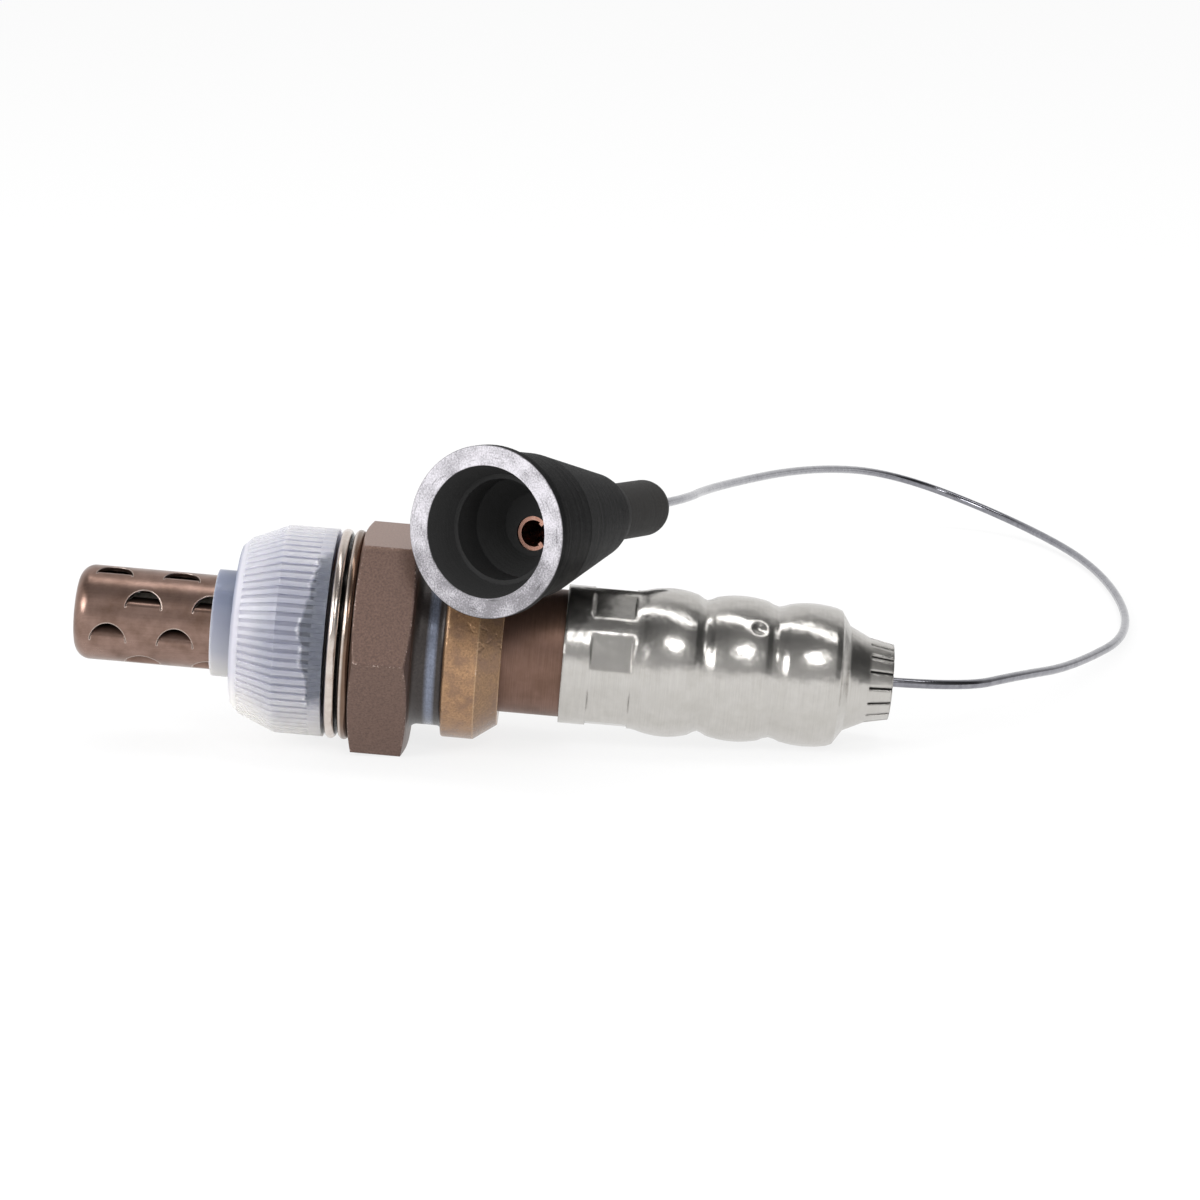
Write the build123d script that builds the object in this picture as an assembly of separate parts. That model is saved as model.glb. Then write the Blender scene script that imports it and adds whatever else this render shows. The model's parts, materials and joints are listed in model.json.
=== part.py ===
"""Single-wire oxygen sensor with a louvered shield, a capped thread, a crimped sleeve, a lead and a boot.

Lengths are in millimetres. Stations run along the sensor's axis from the front face of the hex, where the
gasket seats: the shield's tip has the lowest station and the wire leaves at the highest one. The sensor
lies as it comes to rest, on the rear edge of a hex flat and on the last bulge of its sleeve, and the
boot lies across it.
"""
import os
from math import atan, cos, radians, sin, tan

from build123d import *

# Fits: radial clearance of pieces that slide together, the gap of faces that press on each other, and the
# radial clearance of loose pieces; cuts run past the faces they open by an overcut
SLIP = 0.03
SEAT = 0.02
LOOSE = 0.1
OVERCUT = 1.0

# Metal shell: a threaded front, a wrench hex, a groove and a collar crimped over the cover tube
HEX_FLATS = 22.0
HEX_WIDTH = 6.1
HEX_CHAMFER_RADIUS = 10.9
HEX_CHAMFER_ANGLE = 13.0
HEX_CORE_RADIUS = 10.5
THREAD_RADIUS = 9.0
THREAD_CHAMFER = 1.7
THREAD_DEPTH = 0.9
THREAD_RELIEF_RADIUS = THREAD_RADIUS - THREAD_DEPTH
THREAD_RELIEF = 2.9
SHELL_FRONT = -11.2
GROOVE_RADIUS = 8.7
GROOVE_WIDTH = 3.4
GROOVE_ROUND = 0.9
COLLAR_RADIUS = 9.8
COLLAR_ROOT_ROUND = 0.5
COLLAR_EDGE_ROUND = 0.25
COLLAR_WIDTH = 3.4
CRIMP_LENGTH = 2.4
CRIMP_RADIUS = 8.1
LIP_THICKNESS = 1.6
BORE_RADIUS = 6.0
REAR_BORE_RADIUS = 8.0
REAR_BORE_FLOOR = 9.2
THROAT_RADIUS = 3.4
SEAT_LEDGE = -7.8

# Louvered shield: a drawn cup with half-moon flaps pressed inwards
SHIELD_RADIUS = 4.95
SHIELD_TIP = -29.4
SHIELD_WALL = 0.45
SHIELD_TIP_ROUND = 1.6
FLANGE_LIP = 0.6
FLANGE_RADIUS = 6.3
FLANGE_THICKNESS = 0.5
LOUVER_HALF_LENGTH = 1.9
LOUVER_HEIGHT = 2.0
FLAP_SHARE = 0.96
FLAP_CURVE = 0.9
FLAP_TURN = 58.0
FLAP_LEAF = 1.2
LOUVER_ROWS = 4
LOUVERS_PER_ROW = 4
FIRST_LOUVER = -25.6
LOUVER_PITCH = 3.5
FIRST_LOUVER_ANGLE = 113.0

# Crush gasket: sheet folded into two beads
GASKET_PLAY = 0.5
GASKET_BORE = THREAD_RELIEF_RADIUS + GASKET_PLAY
GASKET_WIDTH = 2.4
GASKET_RADIUS = GASKET_BORE + GASKET_WIDTH
GASKET_THICKNESS = 2.5
GASKET_BEAD = 1.08
GASKET_SHEET = 0.35

# Thread cap: a moulded sleeve on the thread with a neck round the shield
CAP_WALL = 1.87
CAP_RADIUS = THREAD_RADIUS + SLIP + CAP_WALL
CAP_FRONT = -14.95
CAP_NECK_WALL = 0.62
CAP_NECK_RADIUS = SHIELD_RADIUS + SLIP + CAP_NECK_WALL
CAP_NECK_LENGTH = 2.35
CAP_SHOULDER = 0.9
CAP_CONE_DROP = 1.6
CAP_CONE_RADIUS = CAP_RADIUS - CAP_CONE_DROP
CAP_CONE_LENGTH = 3.8
CAP_REAR = -2.8
CAP_RIM = 1.3
RIB_COUNT = 72
RIB_HEIGHT = 0.25
RIB_SHARE = 0.5

# Pieces stacked inside the shell
THIMBLE_TIP = -27.2
THIMBLE_TIP_RADIUS = 2.3
THIMBLE_NECK_RADIUS = 2.8
THIMBLE_BORE = 1.4
THIMBLE_TIP_WALL = 1.2
THIMBLE_TIP_ROUND = 1.8
THIMBLE_SHOULDER_RADIUS = 5.7
THIMBLE_SHOULDER_LENGTH = 4.0
THIMBLE_REAR_RADIUS = 4.3
THIMBLE_REAR = 10.4
WASHER_THICKNESS = 0.5
TALC_REAR = 3.0
BUSH_REAR = 9.4
PACKING_THICKNESS = 1.0

# Cover tube, insulator, contact and spring
COVER_RADIUS = 6.67
COVER_WALL = 0.45
COVER_REAR = 34.5
COVER_LIP_RADIUS = 4.6
INSULATOR_REAR = 31.6
STEM_RADIUS = 1.3
CONTACT_FLANGE_RADIUS = 4.2
CONTACT_FLANGE = 1.0
CONTACT_DEPTH = 14.0
BARREL_RADIUS = 1.15
BARREL_FRONT = 38.0
BARREL_REAR = 46.0
CORE_RADIUS = 0.4
CORE_FRONT = 40.0
SPRING_SHEET = 0.5
SPRING_BORE = 2.6

# Outer sleeve: crimp band, three bulges with a groove between them, shoulder, cone and slit nozzle
SLEEVE_WALL = 0.3
SLEEVE_FRONT = 21.6
SLEEVE_RADIUS = 7.27
BAND_FRONT = 24.4
BAND_WIDTH = 4.4
BAND_REAR = BAND_FRONT + BAND_WIDTH
BAND_SIDES = 8
BAND_ANGLE = 72.5
BULGES = [
    # gap before the bulge, length up to its crest, length behind its crest, crest radius
    (0.40, 3.30, 3.25, 7.80),
    (0.85, 3.50, 3.00, 7.65),
    (1.20, 3.60, 2.40, 7.50),
]
BULGE_SIDE = 0.55
BULGE_SIDE_SHARE = 0.45
SLEEVE_GROOVE_RADIUS = 6.88
SLEEVE_GROOVE_DEPTH = 0.15
SHOULDER_RADIUS = 5.5
SHOULDER_LENGTH = 1.0
CONE_RADIUS = 4.45
CONE_LENGTH = 2.2
NOZZLE_RADIUS = 3.95
NOZZLE_LENGTH = 2.45
SLIT_COUNT = 16
SLIT_ARC = 3.6
SLIT_ANGLE = 63.0
STAKE_STATION = 42.0
STAKE_ANGLE = 41.0
STAKE_BALL = 3.0
STAKE_SINK = 0.36
GROMMET_GAP = 0.3

# Lead wire and its hand-laid route, from the nozzle round behind the sensor to the boot
WIRE_RADIUS = 0.5
WIRE_DEPTH = 2.95
WIRE_LEAD = 7.4
WIRE_ROUTE = [
    (57.0, 11.2, 4.6),
    (64.2, 25.3, 2.5),
    (74.8, 52.1, 1.0),
    (74.8, 88.5, 0.7),
    (65.8, 113.5, 1.9),
    (50.0, 117.5, 7.1),
    (37.2, 90.2, 12.9),
    (24.1, 52.5, 17.4),
]
BEND_SHARE = 0.45

# Rubber boot and its socket terminal; stations run from the mouth towards the wire
BOOT_MOUTH = (0.85, -14.8, 25.6)
BOOT_DIRECTION = (0.434, 0.895, -0.105)
BOOT_LENGTH = 37.5
BOOT_RIM_RADIUS = 8.7
BOOT_RIM_LENGTH = 1.2
BOOT_RIM_EDGE = 0.12
BOOT_BODY = [(8.15, 2.0), (7.45, 9.0), (4.6, 23.2), (3.95, 25.1)]
BOOT_TAIL_RADIUS = 3.05
BOOT_TAIL_FRONT = 26.4
BOOT_TAIL_ROUND = 1.9
MOUTH_RADIUS = 6.7
MOUTH_TAPER = 1.1
MOUTH_DEPTH = 3.7
SOCKET_BORE_RADIUS = 5.15
SOCKET_BORE_DEPTH = 7.6
FUNNEL_RADIUS = 3.2
FUNNEL_DEPTH = 10.2
TERMINAL_DROP = 0.9
TERMINAL_RADIUS = 1.78
TERMINAL_SHEET = 0.4
TERMINAL_FRONT = 10.4
TERMINAL_REAR = 16.4
TERMINAL_GAP = 100.0
TERMINAL_CURL = 0.4
TERMINAL_NECK = 1.0
CRIMP_BARREL_RADIUS = 1.05
CRIMP_BARREL_FRONT = 19.0
CRIMP_BARREL_REAR = 28.0
WIRE_END = 26.0
LAST_BEND = 45.0

# Places that follow from the values above
hex_half = HEX_FLATS / 2
groove_rear = HEX_WIDTH + GROOVE_WIDTH
collar_rear = groove_rear + COLLAR_WIDTH
shell_rear = collar_rear + CRIMP_LENGTH
lip_front = shell_rear - LIP_THICKNESS
flange_front = SHELL_FRONT + FLANGE_LIP
flange_rear = flange_front + FLANGE_THICKNESS + SEAT
cap_shoulder = CAP_FRONT + CAP_NECK_LENGTH
cap_cone_front = cap_shoulder + CAP_SHOULDER
cap_cone_rear = cap_cone_front + CAP_CONE_LENGTH
cover_flange_front = lip_front - FLANGE_THICKNESS - SEAT
shoulder_front = SEAT_LEDGE + WASHER_THICKNESS + 2 * SEAT
shoulder_rear = shoulder_front + THIMBLE_SHOULDER_LENGTH
packing_rear = BUSH_REAR + SEAT + PACKING_THICKNESS
insulator_front = THIMBLE_REAR + CONTACT_FLANGE + 2 * SEAT
cover_bore = COVER_RADIUS - COVER_WALL
insulator_radius = cover_bore - LOOSE
sleeve_bore = SLEEVE_RADIUS - SLEEVE_WALL
band_half = COVER_RADIUS + SLIP + SLEEVE_WALL
bulge_stations = []
bulge_end = BAND_REAR
for gap, rise, fall, _ in BULGES:
    crest = bulge_end + gap + rise
    bulge_stations.append((crest - rise, crest, crest + fall))
    bulge_end = crest + fall
shoulder_end = bulge_end + SHOULDER_LENGTH
cone_end = shoulder_end + CONE_LENGTH
nozzle_end = cone_end + NOZZLE_LENGTH
grommet_front = COVER_REAR + GROMMET_GAP
wire_front = nozzle_end - WIRE_DEPTH
last_crest = bulge_stations[-1][1]
last_crest_radius = BULGES[-1][3]
rest_tilt = atan((hex_half - last_crest_radius) / (last_crest - HEX_WIDTH))


def turned(points, rounds=None):
    """A piece turned about the axis from (radius, station) points, with rounds by place in the list."""
    radii = [0.0] * len(points)
    for place, radius in (rounds or {}).items():
        radii[place] = radius
    outline = FilletPolyline(*points, radius=radii, close=True)
    return revolve(Plane.XZ * make_face(outline), Axis.Z)


def ring(inner, outer, front, rear):
    """A plain ring between two radii and two stations."""
    return turned([(inner, front), (outer, front), (outer, rear), (inner, rear)])


def rod(radius, front, rear):
    """A plain round bar on the axis."""
    return Pos(0, 0, front) * Cylinder(radius, rear - front, align=(Align.CENTER, Align.CENTER, Align.MIN))


def metal_shell():
    """The turned shell: a hex with crowned chamfers, and both ends rolled over a flange."""
    ball = HEX_CHAMFER_RADIUS / sin(radians(HEX_CHAMFER_ANGLE))
    drop = ball * cos(radians(HEX_CHAMFER_ANGLE))
    hexagon = extrude(RegularPolygon(hex_half, 6, major_radius=False, rotation=30), HEX_WIDTH)
    hexagon &= Pos(0, 0, drop) * Sphere(ball)
    hexagon &= Pos(0, 0, HEX_WIDTH - drop) * Sphere(ball)
    thread_front = SHELL_FRONT + THREAD_CHAMFER
    outside = turned([
        (0, SHELL_FRONT),
        (THREAD_RADIUS - THREAD_CHAMFER, SHELL_FRONT),
        (THREAD_RADIUS, thread_front),
        (THREAD_RADIUS, -THREAD_RELIEF),
        (THREAD_RELIEF_RADIUS, THREAD_DEPTH - THREAD_RELIEF),
        (THREAD_RELIEF_RADIUS, HEX_WIDTH / 2),
        (HEX_CORE_RADIUS, HEX_WIDTH / 2),
        (HEX_CORE_RADIUS, HEX_WIDTH),
        (GROOVE_RADIUS, HEX_WIDTH),
        (GROOVE_RADIUS, groove_rear),
        (COLLAR_RADIUS, groove_rear),
        (COLLAR_RADIUS, collar_rear),
        (CRIMP_RADIUS, shell_rear),
        (0, shell_rear),
    ], {8: GROOVE_ROUND, 9: COLLAR_ROOT_ROUND, 10: COLLAR_EDGE_ROUND})
    bore = turned([
        (0, SHELL_FRONT - OVERCUT),
        (SHIELD_RADIUS + SLIP, SHELL_FRONT - OVERCUT),
        (SHIELD_RADIUS + SLIP, flange_front),
        (FLANGE_RADIUS + SLIP, flange_front),
        (FLANGE_RADIUS + SLIP, flange_rear),
        (THROAT_RADIUS, flange_rear),
        (THROAT_RADIUS, SEAT_LEDGE),
        (BORE_RADIUS, SEAT_LEDGE),
        (BORE_RADIUS, REAR_BORE_FLOOR),
        (REAR_BORE_RADIUS, REAR_BORE_FLOOR),
        (REAR_BORE_RADIUS, lip_front),
        (COVER_RADIUS + SLIP, lip_front),
        (COVER_RADIUS + SLIP, shell_rear + OVERCUT),
        (0, shell_rear + OVERCUT),
    ])
    return outside + hexagon - bore


def louver(angle, station):
    """The cut of one louver in the shield's wall, and the flap that is curled in from its straight edge."""
    around = radians(angle)
    outward = Vector(cos(around), sin(around), 0)
    across = Vector(sin(around), -cos(around), 0)
    hinge = outward * SHIELD_RADIUS + Vector(0, 0, station)
    wall = Plane(origin=hinge, x_dir=(0, 0, 1), z_dir=outward)
    section = Plane(origin=hinge, x_dir=across, z_dir=(0, 0, 1))
    moon = Ellipse(LOUVER_HALF_LENGTH, LOUVER_HEIGHT)
    moon &= Pos(0, LOUVER_HEIGHT) * Rectangle(3 * LOUVER_HALF_LENGTH, 2 * LOUVER_HEIGHT)
    cut = extrude(wall * moon, 2 * SHIELD_WALL, both=True)
    bend = CenterArc((0, -FLAP_CURVE), FLAP_CURVE, 90, -FLAP_TURN)
    back = CenterArc((0, -FLAP_CURVE), FLAP_CURVE - SHIELD_WALL, 90, -FLAP_TURN)
    tip = PolarLine(bend @ 1, FLAP_LEAF, -FLAP_TURN)
    heel = PolarLine(back @ 1, FLAP_LEAF, -FLAP_TURN)
    root = Polyline(back @ 0, (-LOOSE, -2 * SHIELD_WALL / 3), (-LOOSE, -SHIELD_WALL / 3), bend @ 0)
    profile = make_face([bend, tip, Line(tip @ 1, heel @ 1), heel, back, root])
    strip = extrude(section * profile, LOUVER_HALF_LENGTH, both=True)
    leaf = scale(moon, by=FLAP_SHARE) + Rectangle(2 * FLAP_SHARE * LOUVER_HALF_LENGTH, 2 * LOOSE)
    flap = strip & extrude(wall * leaf, 2 * LOUVER_HEIGHT, both=True)
    return cut, flap


def louvered_shield():
    """The drawn cup, open at the flange that the shell's front lip holds, with staggered rows of louvers."""
    inner = SHIELD_RADIUS - SHIELD_WALL
    cup = turned([
        (0, SHIELD_TIP),
        (SHIELD_RADIUS, SHIELD_TIP),
        (SHIELD_RADIUS, flange_front + SEAT / 2),
        (FLANGE_RADIUS, flange_front + SEAT / 2),
        (FLANGE_RADIUS, flange_rear - SEAT / 2),
        (inner, flange_rear - SEAT / 2),
        (inner, SHIELD_TIP + SHIELD_WALL),
        (0, SHIELD_TIP + SHIELD_WALL),
    ], {1: SHIELD_TIP_ROUND, 6: SHIELD_TIP_ROUND - SHIELD_WALL})
    step = 360 / LOUVERS_PER_ROW
    for row in range(LOUVER_ROWS):
        station = FIRST_LOUVER + row * LOUVER_PITCH
        for place in range(LOUVERS_PER_ROW):
            angle = FIRST_LOUVER_ANGLE + step * (place - (row % 2) / 2)
            cut, flap = louver(angle, station)
            cup = cup - cut + flap
    return cup


def crush_gasket():
    """Sheet folded into two hollow beads, which are open towards the thread and joined at their bore."""
    shoulder = GASKET_RADIUS - GASKET_BEAD / 2
    first, second = SEAT - GASKET_THICKNESS, -SEAT - GASKET_BEAD
    fold = GASKET_SHEET / 2
    folded = ring(GASKET_BORE, GASKET_BORE + GASKET_SHEET, first + GASKET_BEAD - fold, second + fold)
    for front in (first, second):
        rear = front + GASKET_BEAD
        edge = [
            Line((GASKET_BORE, front), (shoulder, front)),
            ThreePointArc((shoulder, front), (GASKET_RADIUS, front + GASKET_BEAD / 2), (shoulder, rear)),
            Polyline(
                (shoulder, rear), (GASKET_BORE, rear), (GASKET_BORE, rear - GASKET_SHEET),
                (shoulder, rear - GASKET_SHEET), (shoulder, front + GASKET_SHEET),
                (GASKET_BORE, front + GASKET_SHEET), (GASKET_BORE, front),
            ),
        ]
        folded += revolve(Plane.XZ * make_face(edge), Axis.Z)
    return folded


def ribbed_outline(radius, station):
    """The cap's ribbed cross-section, with its ribs at a radius."""
    pitch = 360 / RIB_COUNT
    points = []
    for place in range(RIB_COUNT):
        start = pitch * place
        rise = start + pitch * RIB_SHARE
        valley = radius - RIB_HEIGHT
        for level, angle in ((radius, start), (radius, rise), (valley, rise), (valley, start + pitch)):
            points.append((level * cos(radians(angle)), level * sin(radians(angle))))
    return Pos(0, 0, station) * make_face(Polyline(*points, close=True))


def thread_cap():
    """The moulded cap: fine ribs run from its cone to a plain rim, and its neck rides on the shield."""
    rib_rear = CAP_REAR - CAP_RIM
    nose = turned([
        (0, CAP_FRONT), (CAP_NECK_RADIUS, CAP_FRONT), (CAP_NECK_RADIUS, cap_shoulder),
        (CAP_CONE_RADIUS - CAP_SHOULDER, cap_shoulder), (CAP_CONE_RADIUS, cap_cone_front),
        (0, cap_cone_front),
    ])
    cone_end = ribbed_outline(CAP_RADIUS, cap_cone_rear)
    cone = loft([ribbed_outline(CAP_CONE_RADIUS, cap_cone_front), cone_end], ruled=True)
    side = extrude(cone_end, rib_rear - cap_cone_rear)
    rim = rod(CAP_RADIUS, rib_rear, CAP_REAR)
    cavity_front = SHELL_FRONT - SEAT
    clear = THREAD_RADIUS + SLIP
    cavity = turned([
        (0, CAP_FRONT - OVERCUT),
        (SHIELD_RADIUS + SLIP, CAP_FRONT - OVERCUT),
        (SHIELD_RADIUS + SLIP, cavity_front),
        (clear - THREAD_CHAMFER, cavity_front),
        (clear, cavity_front + THREAD_CHAMFER),
        (clear, CAP_REAR + OVERCUT),
        (0, CAP_REAR + OVERCUT),
    ])
    return nose + cone + side + rim - cavity


def zirconia_thimble():
    """The closed ceramic finger with a shoulder that seats in the shell."""
    return turned([
        (0, THIMBLE_TIP),
        (THIMBLE_TIP_RADIUS, THIMBLE_TIP),
        (THIMBLE_NECK_RADIUS, flange_rear),
        (THIMBLE_NECK_RADIUS, shoulder_front),
        (THIMBLE_SHOULDER_RADIUS, shoulder_front),
        (THIMBLE_SHOULDER_RADIUS, shoulder_rear),
        (THIMBLE_REAR_RADIUS, shoulder_rear),
        (THIMBLE_REAR_RADIUS, THIMBLE_REAR),
        (THIMBLE_BORE, THIMBLE_REAR),
        (THIMBLE_BORE, THIMBLE_TIP + THIMBLE_TIP_WALL),
        (0, THIMBLE_TIP + THIMBLE_TIP_WALL),
    ], {1: THIMBLE_TIP_ROUND})


def seat_washer():
    """The soft ring between the shell's ledge and the thimble's shoulder."""
    front = SEAT_LEDGE + SEAT
    return ring(THROAT_RADIUS + LOOSE, BORE_RADIUS - LOOSE, front, front + WASHER_THICKNESS)


def talc_seal():
    """Pressed powder that seals the thimble in the shell."""
    return ring(THIMBLE_REAR_RADIUS + SLIP, BORE_RADIUS - SLIP, shoulder_rear + SEAT, TALC_REAR)


def ceramic_bush():
    """The bush that presses on the talc."""
    return ring(THIMBLE_REAR_RADIUS + SLIP, BORE_RADIUS - SLIP, TALC_REAR + SEAT, BUSH_REAR)


def packing_ring():
    """A flat steel ring on the bush."""
    front = BUSH_REAR + SEAT
    return ring(CONTACT_FLANGE_RADIUS + 3 * LOOSE, REAR_BORE_RADIUS - SLIP, front, packing_rear)


def press_ring():
    """The ring that carries the crimp's force from the cover tube's flange to the packing."""
    return ring(cover_bore, REAR_BORE_RADIUS - SLIP, packing_rear + SEAT, cover_flange_front - SEAT)


def cover_tube():
    """The tube behind the collar: a flange under the crimped lip, and a rear end rolled inwards."""
    flange_back = cover_flange_front + FLANGE_THICKNESS
    return turned([
        (cover_bore, cover_flange_front),
        (REAR_BORE_RADIUS - SLIP, cover_flange_front),
        (REAR_BORE_RADIUS - SLIP, flange_back),
        (COVER_RADIUS, flange_back),
        (COVER_RADIUS, COVER_REAR),
        (COVER_LIP_RADIUS, COVER_REAR),
        (COVER_LIP_RADIUS, COVER_REAR - COVER_WALL),
        (cover_bore, COVER_REAR - COVER_WALL),
    ])


def contact_bushing():
    """The inner contact: a plug in the thimble, a flange on its rim, a stem and a crimp barrel."""
    front = THIMBLE_REAR - CONTACT_DEPTH
    flange_front_face = THIMBLE_REAR + SEAT
    body = turned([
        (0, front),
        (THIMBLE_BORE - SLIP, front),
        (THIMBLE_BORE - SLIP, flange_front_face),
        (CONTACT_FLANGE_RADIUS, flange_front_face),
        (CONTACT_FLANGE_RADIUS, flange_front_face + CONTACT_FLANGE),
        (STEM_RADIUS, flange_front_face + CONTACT_FLANGE),
        (STEM_RADIUS, BARREL_FRONT),
        (BARREL_RADIUS, BARREL_FRONT),
        (BARREL_RADIUS, BARREL_REAR),
        (0, BARREL_REAR),
    ])
    return body - rod(CORE_RADIUS + SLIP, CORE_FRONT - SEAT, BARREL_REAR + OVERCUT)


def support_insulator():
    """The ceramic tube that presses the contact onto the thimble."""
    return ring(STEM_RADIUS + 2 * LOOSE, insulator_radius, insulator_front, INSULATOR_REAR)


def disc_spring():
    """A coned washer between the insulator and the cover tube's rolled end."""
    outer = insulator_radius - LOOSE
    front = INSULATOR_REAR + SEAT
    rear = COVER_REAR - COVER_WALL - SEAT - SPRING_SHEET
    return turned([
        (SPRING_BORE, front), (outer, rear),
        (outer, rear + SPRING_SHEET), (SPRING_BORE, front + SPRING_SHEET),
    ])


def sleeve_form(sink, reach):
    """The sleeve's outside as a full turned solid, or its inside when sunk, longer by a reach at each end."""
    front, rear = SLEEVE_FRONT - reach, nozzle_end + reach
    bore = SLEEVE_RADIUS - sink
    groove = SLEEVE_GROOVE_RADIUS - sink
    foot = groove + SLEEVE_GROOVE_DEPTH
    edge = [Polyline((0, front), (bore, front), (bore, bulge_stations[0][0]))]
    for place, (start, crest, end) in enumerate(bulge_stations):
        if place:
            middle = (bulge_stations[place - 1][2] + start) / 2
            edge.append(Polyline(edge[-1] @ 1, (groove, middle), (foot, start)))
        top = BULGES[place][3] - sink
        side = foot + BULGE_SIDE_SHARE * (top - foot)
        edge.append(Line(edge[-1] @ 1, (side, start + BULGE_SIDE)))
        edge.append(ThreePointArc(edge[-1] @ 1, (top, crest), (side, end - BULGE_SIDE)))
        edge.append(Line(edge[-1] @ 1, (foot, end)))
    cone_foot = (CONE_RADIUS - sink, cone_end - sink / 2)
    shoulder_foot = (SHOULDER_RADIUS - sink, shoulder_end - sink / 2)
    mouth = (NOZZLE_RADIUS - sink, rear)
    edge.append(Polyline(edge[-1] @ 1, shoulder_foot, cone_foot, mouth, (0, rear), (0, front)))
    return revolve(Plane.XZ * make_face(edge), Axis.Z)


def octagon(half, front, rear):
    """An eight-sided bar of a half width across its flats, turned as the crimp is."""
    flats = RegularPolygon(half, BAND_SIDES, major_radius=False, rotation=BAND_ANGLE + 180 / BAND_SIDES)
    return extrude(Pos(0, 0, front) * flats, rear - front)


def outer_sleeve():
    """The drawn sleeve: its band grips the cover tube, its grooves, stake and slit nozzle the grommet."""
    tube = sleeve_form(0, 0) - sleeve_form(SLEEVE_WALL, OVERCUT)
    pressed_off = rod(SLEEVE_RADIUS + OVERCUT, BAND_FRONT, BAND_REAR)
    pressed_off -= octagon(band_half, BAND_FRONT, BAND_REAR)
    pressed_in = rod(sleeve_bore + SLIP, BAND_FRONT, BAND_REAR)
    pressed_in -= octagon(band_half - SLEEVE_WALL, BAND_FRONT, BAND_REAR)
    tube = tube - pressed_off + pressed_in
    slit_length = NOZZLE_LENGTH + OVERCUT
    slit_depth = 2 * (SLEEVE_WALL + OVERCUT)
    opening = Pos(NOZZLE_RADIUS, cone_end + slit_length / 2) * Rectangle(slit_depth, slit_length)
    slit = revolve(Plane.XZ * opening, Axis.Z, SLIT_ARC)
    for place in range(SLIT_COUNT):
        tube -= Rot(0, 0, SLIT_ANGLE + 360 * place / SLIT_COUNT) * slit
    ball = Pos(BULGES[1][3] - STAKE_SINK + STAKE_BALL, 0, STAKE_STATION) * Sphere(STAKE_BALL)
    return tube - Rot(0, 0, STAKE_ANGLE) * ball


def grommet():
    """The rubber plug that the sleeve squeezes round the contact's barrel and the wire."""
    radius = SLEEVE_GROOVE_RADIUS - SLEEVE_WALL - SLIP
    plug = sleeve_form(SLEEVE_WALL + SLIP, 0) & rod(radius, grommet_front, nozzle_end)
    plug -= rod(STEM_RADIUS + SLIP, grommet_front - OVERCUT, BARREL_REAR + SEAT)
    return plug - rod(WIRE_RADIUS + SLIP, BARREL_REAR - OVERCUT, nozzle_end + OVERCUT)


def wire_core():
    """The stripped strands between the crimp barrel and the insulated lead."""
    return rod(CORE_RADIUS, CORE_FRONT, wire_front - SEAT)


def boot_outside():
    """The boot's outside: a beaded rim, a tapering body, a shoulder and a round-ended tail."""
    points = [
        (0, 0), (BOOT_RIM_RADIUS - BOOT_RIM_EDGE, 0), (BOOT_RIM_RADIUS, BOOT_RIM_EDGE),
        (BOOT_RIM_RADIUS, BOOT_RIM_LENGTH), *BOOT_BODY, (BOOT_TAIL_RADIUS, BOOT_TAIL_FRONT),
        (BOOT_TAIL_RADIUS, BOOT_LENGTH), (0, BOOT_LENGTH),
    ]
    return turned(points, {len(points) - 2: BOOT_TAIL_ROUND})


def rubber_boot():
    """The hollow boot: a stepped mouth, a funnel, a pocket for the terminal and a hole for the wire."""
    ledge_radius = MOUTH_RADIUS - MOUTH_TAPER
    mouth = turned([
        (0, -OVERCUT), (MOUTH_RADIUS, -OVERCUT), (MOUTH_RADIUS, 0), (ledge_radius, MOUTH_DEPTH),
        (SOCKET_BORE_RADIUS, MOUTH_DEPTH), (SOCKET_BORE_RADIUS, SOCKET_BORE_DEPTH),
        (FUNNEL_RADIUS, FUNNEL_DEPTH), (0, FUNNEL_DEPTH),
    ])
    pocket = rod(TERMINAL_RADIUS + SLIP, FUNNEL_DEPTH - OVERCUT, CRIMP_BARREL_FRONT + OVERCUT)
    pocket = Pos(TERMINAL_DROP, 0, 0) * pocket
    barrel_hole = rod(CRIMP_BARREL_RADIUS + SLIP, TERMINAL_REAR, CRIMP_BARREL_REAR + SEAT)
    wire_hole = rod(WIRE_RADIUS + SLIP, CRIMP_BARREL_REAR - OVERCUT, BOOT_LENGTH + OVERCUT)
    return boot_outside() - mouth - pocket - barrel_hole - wire_hole


def socket_terminal():
    """Rolled sheet: an open socket with curled edges, a cranked neck and a barrel crimped on the wire."""
    middle = TERMINAL_RADIUS - TERMINAL_SHEET / 2
    start = 270 + TERMINAL_GAP / 2
    roll = CenterArc((0, 0), middle, start, 360 - TERMINAL_GAP)
    curls = [PolarLine(roll @ end, TERMINAL_CURL, direction=-Vector(roll @ end)) for end in (0, 1)]
    sheet = trace([roll, *curls], TERMINAL_SHEET)
    length = TERMINAL_REAR - TERMINAL_FRONT
    socket = Pos(TERMINAL_DROP, 0, TERMINAL_FRONT) * extrude(sheet, length)
    low = TERMINAL_DROP + TERMINAL_RADIUS
    neck_front, neck_rear = TERMINAL_REAR - TERMINAL_NECK, CRIMP_BARREL_FRONT + TERMINAL_NECK / 2
    neck = extrude(Plane.XZ * make_face(Polyline(
        (low, neck_front), (low, TERMINAL_REAR), (CRIMP_BARREL_RADIUS, neck_rear),
        (CRIMP_BARREL_RADIUS - TERMINAL_SHEET, neck_rear), (low - TERMINAL_SHEET, TERMINAL_REAR),
        (low - TERMINAL_SHEET, neck_front), close=True,
    )), TERMINAL_NECK / 2, both=True)
    barrel = ring(WIRE_RADIUS + SLIP, CRIMP_BARREL_RADIUS, CRIMP_BARREL_FRONT, CRIMP_BARREL_REAR)
    return socket + neck + barrel


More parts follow.
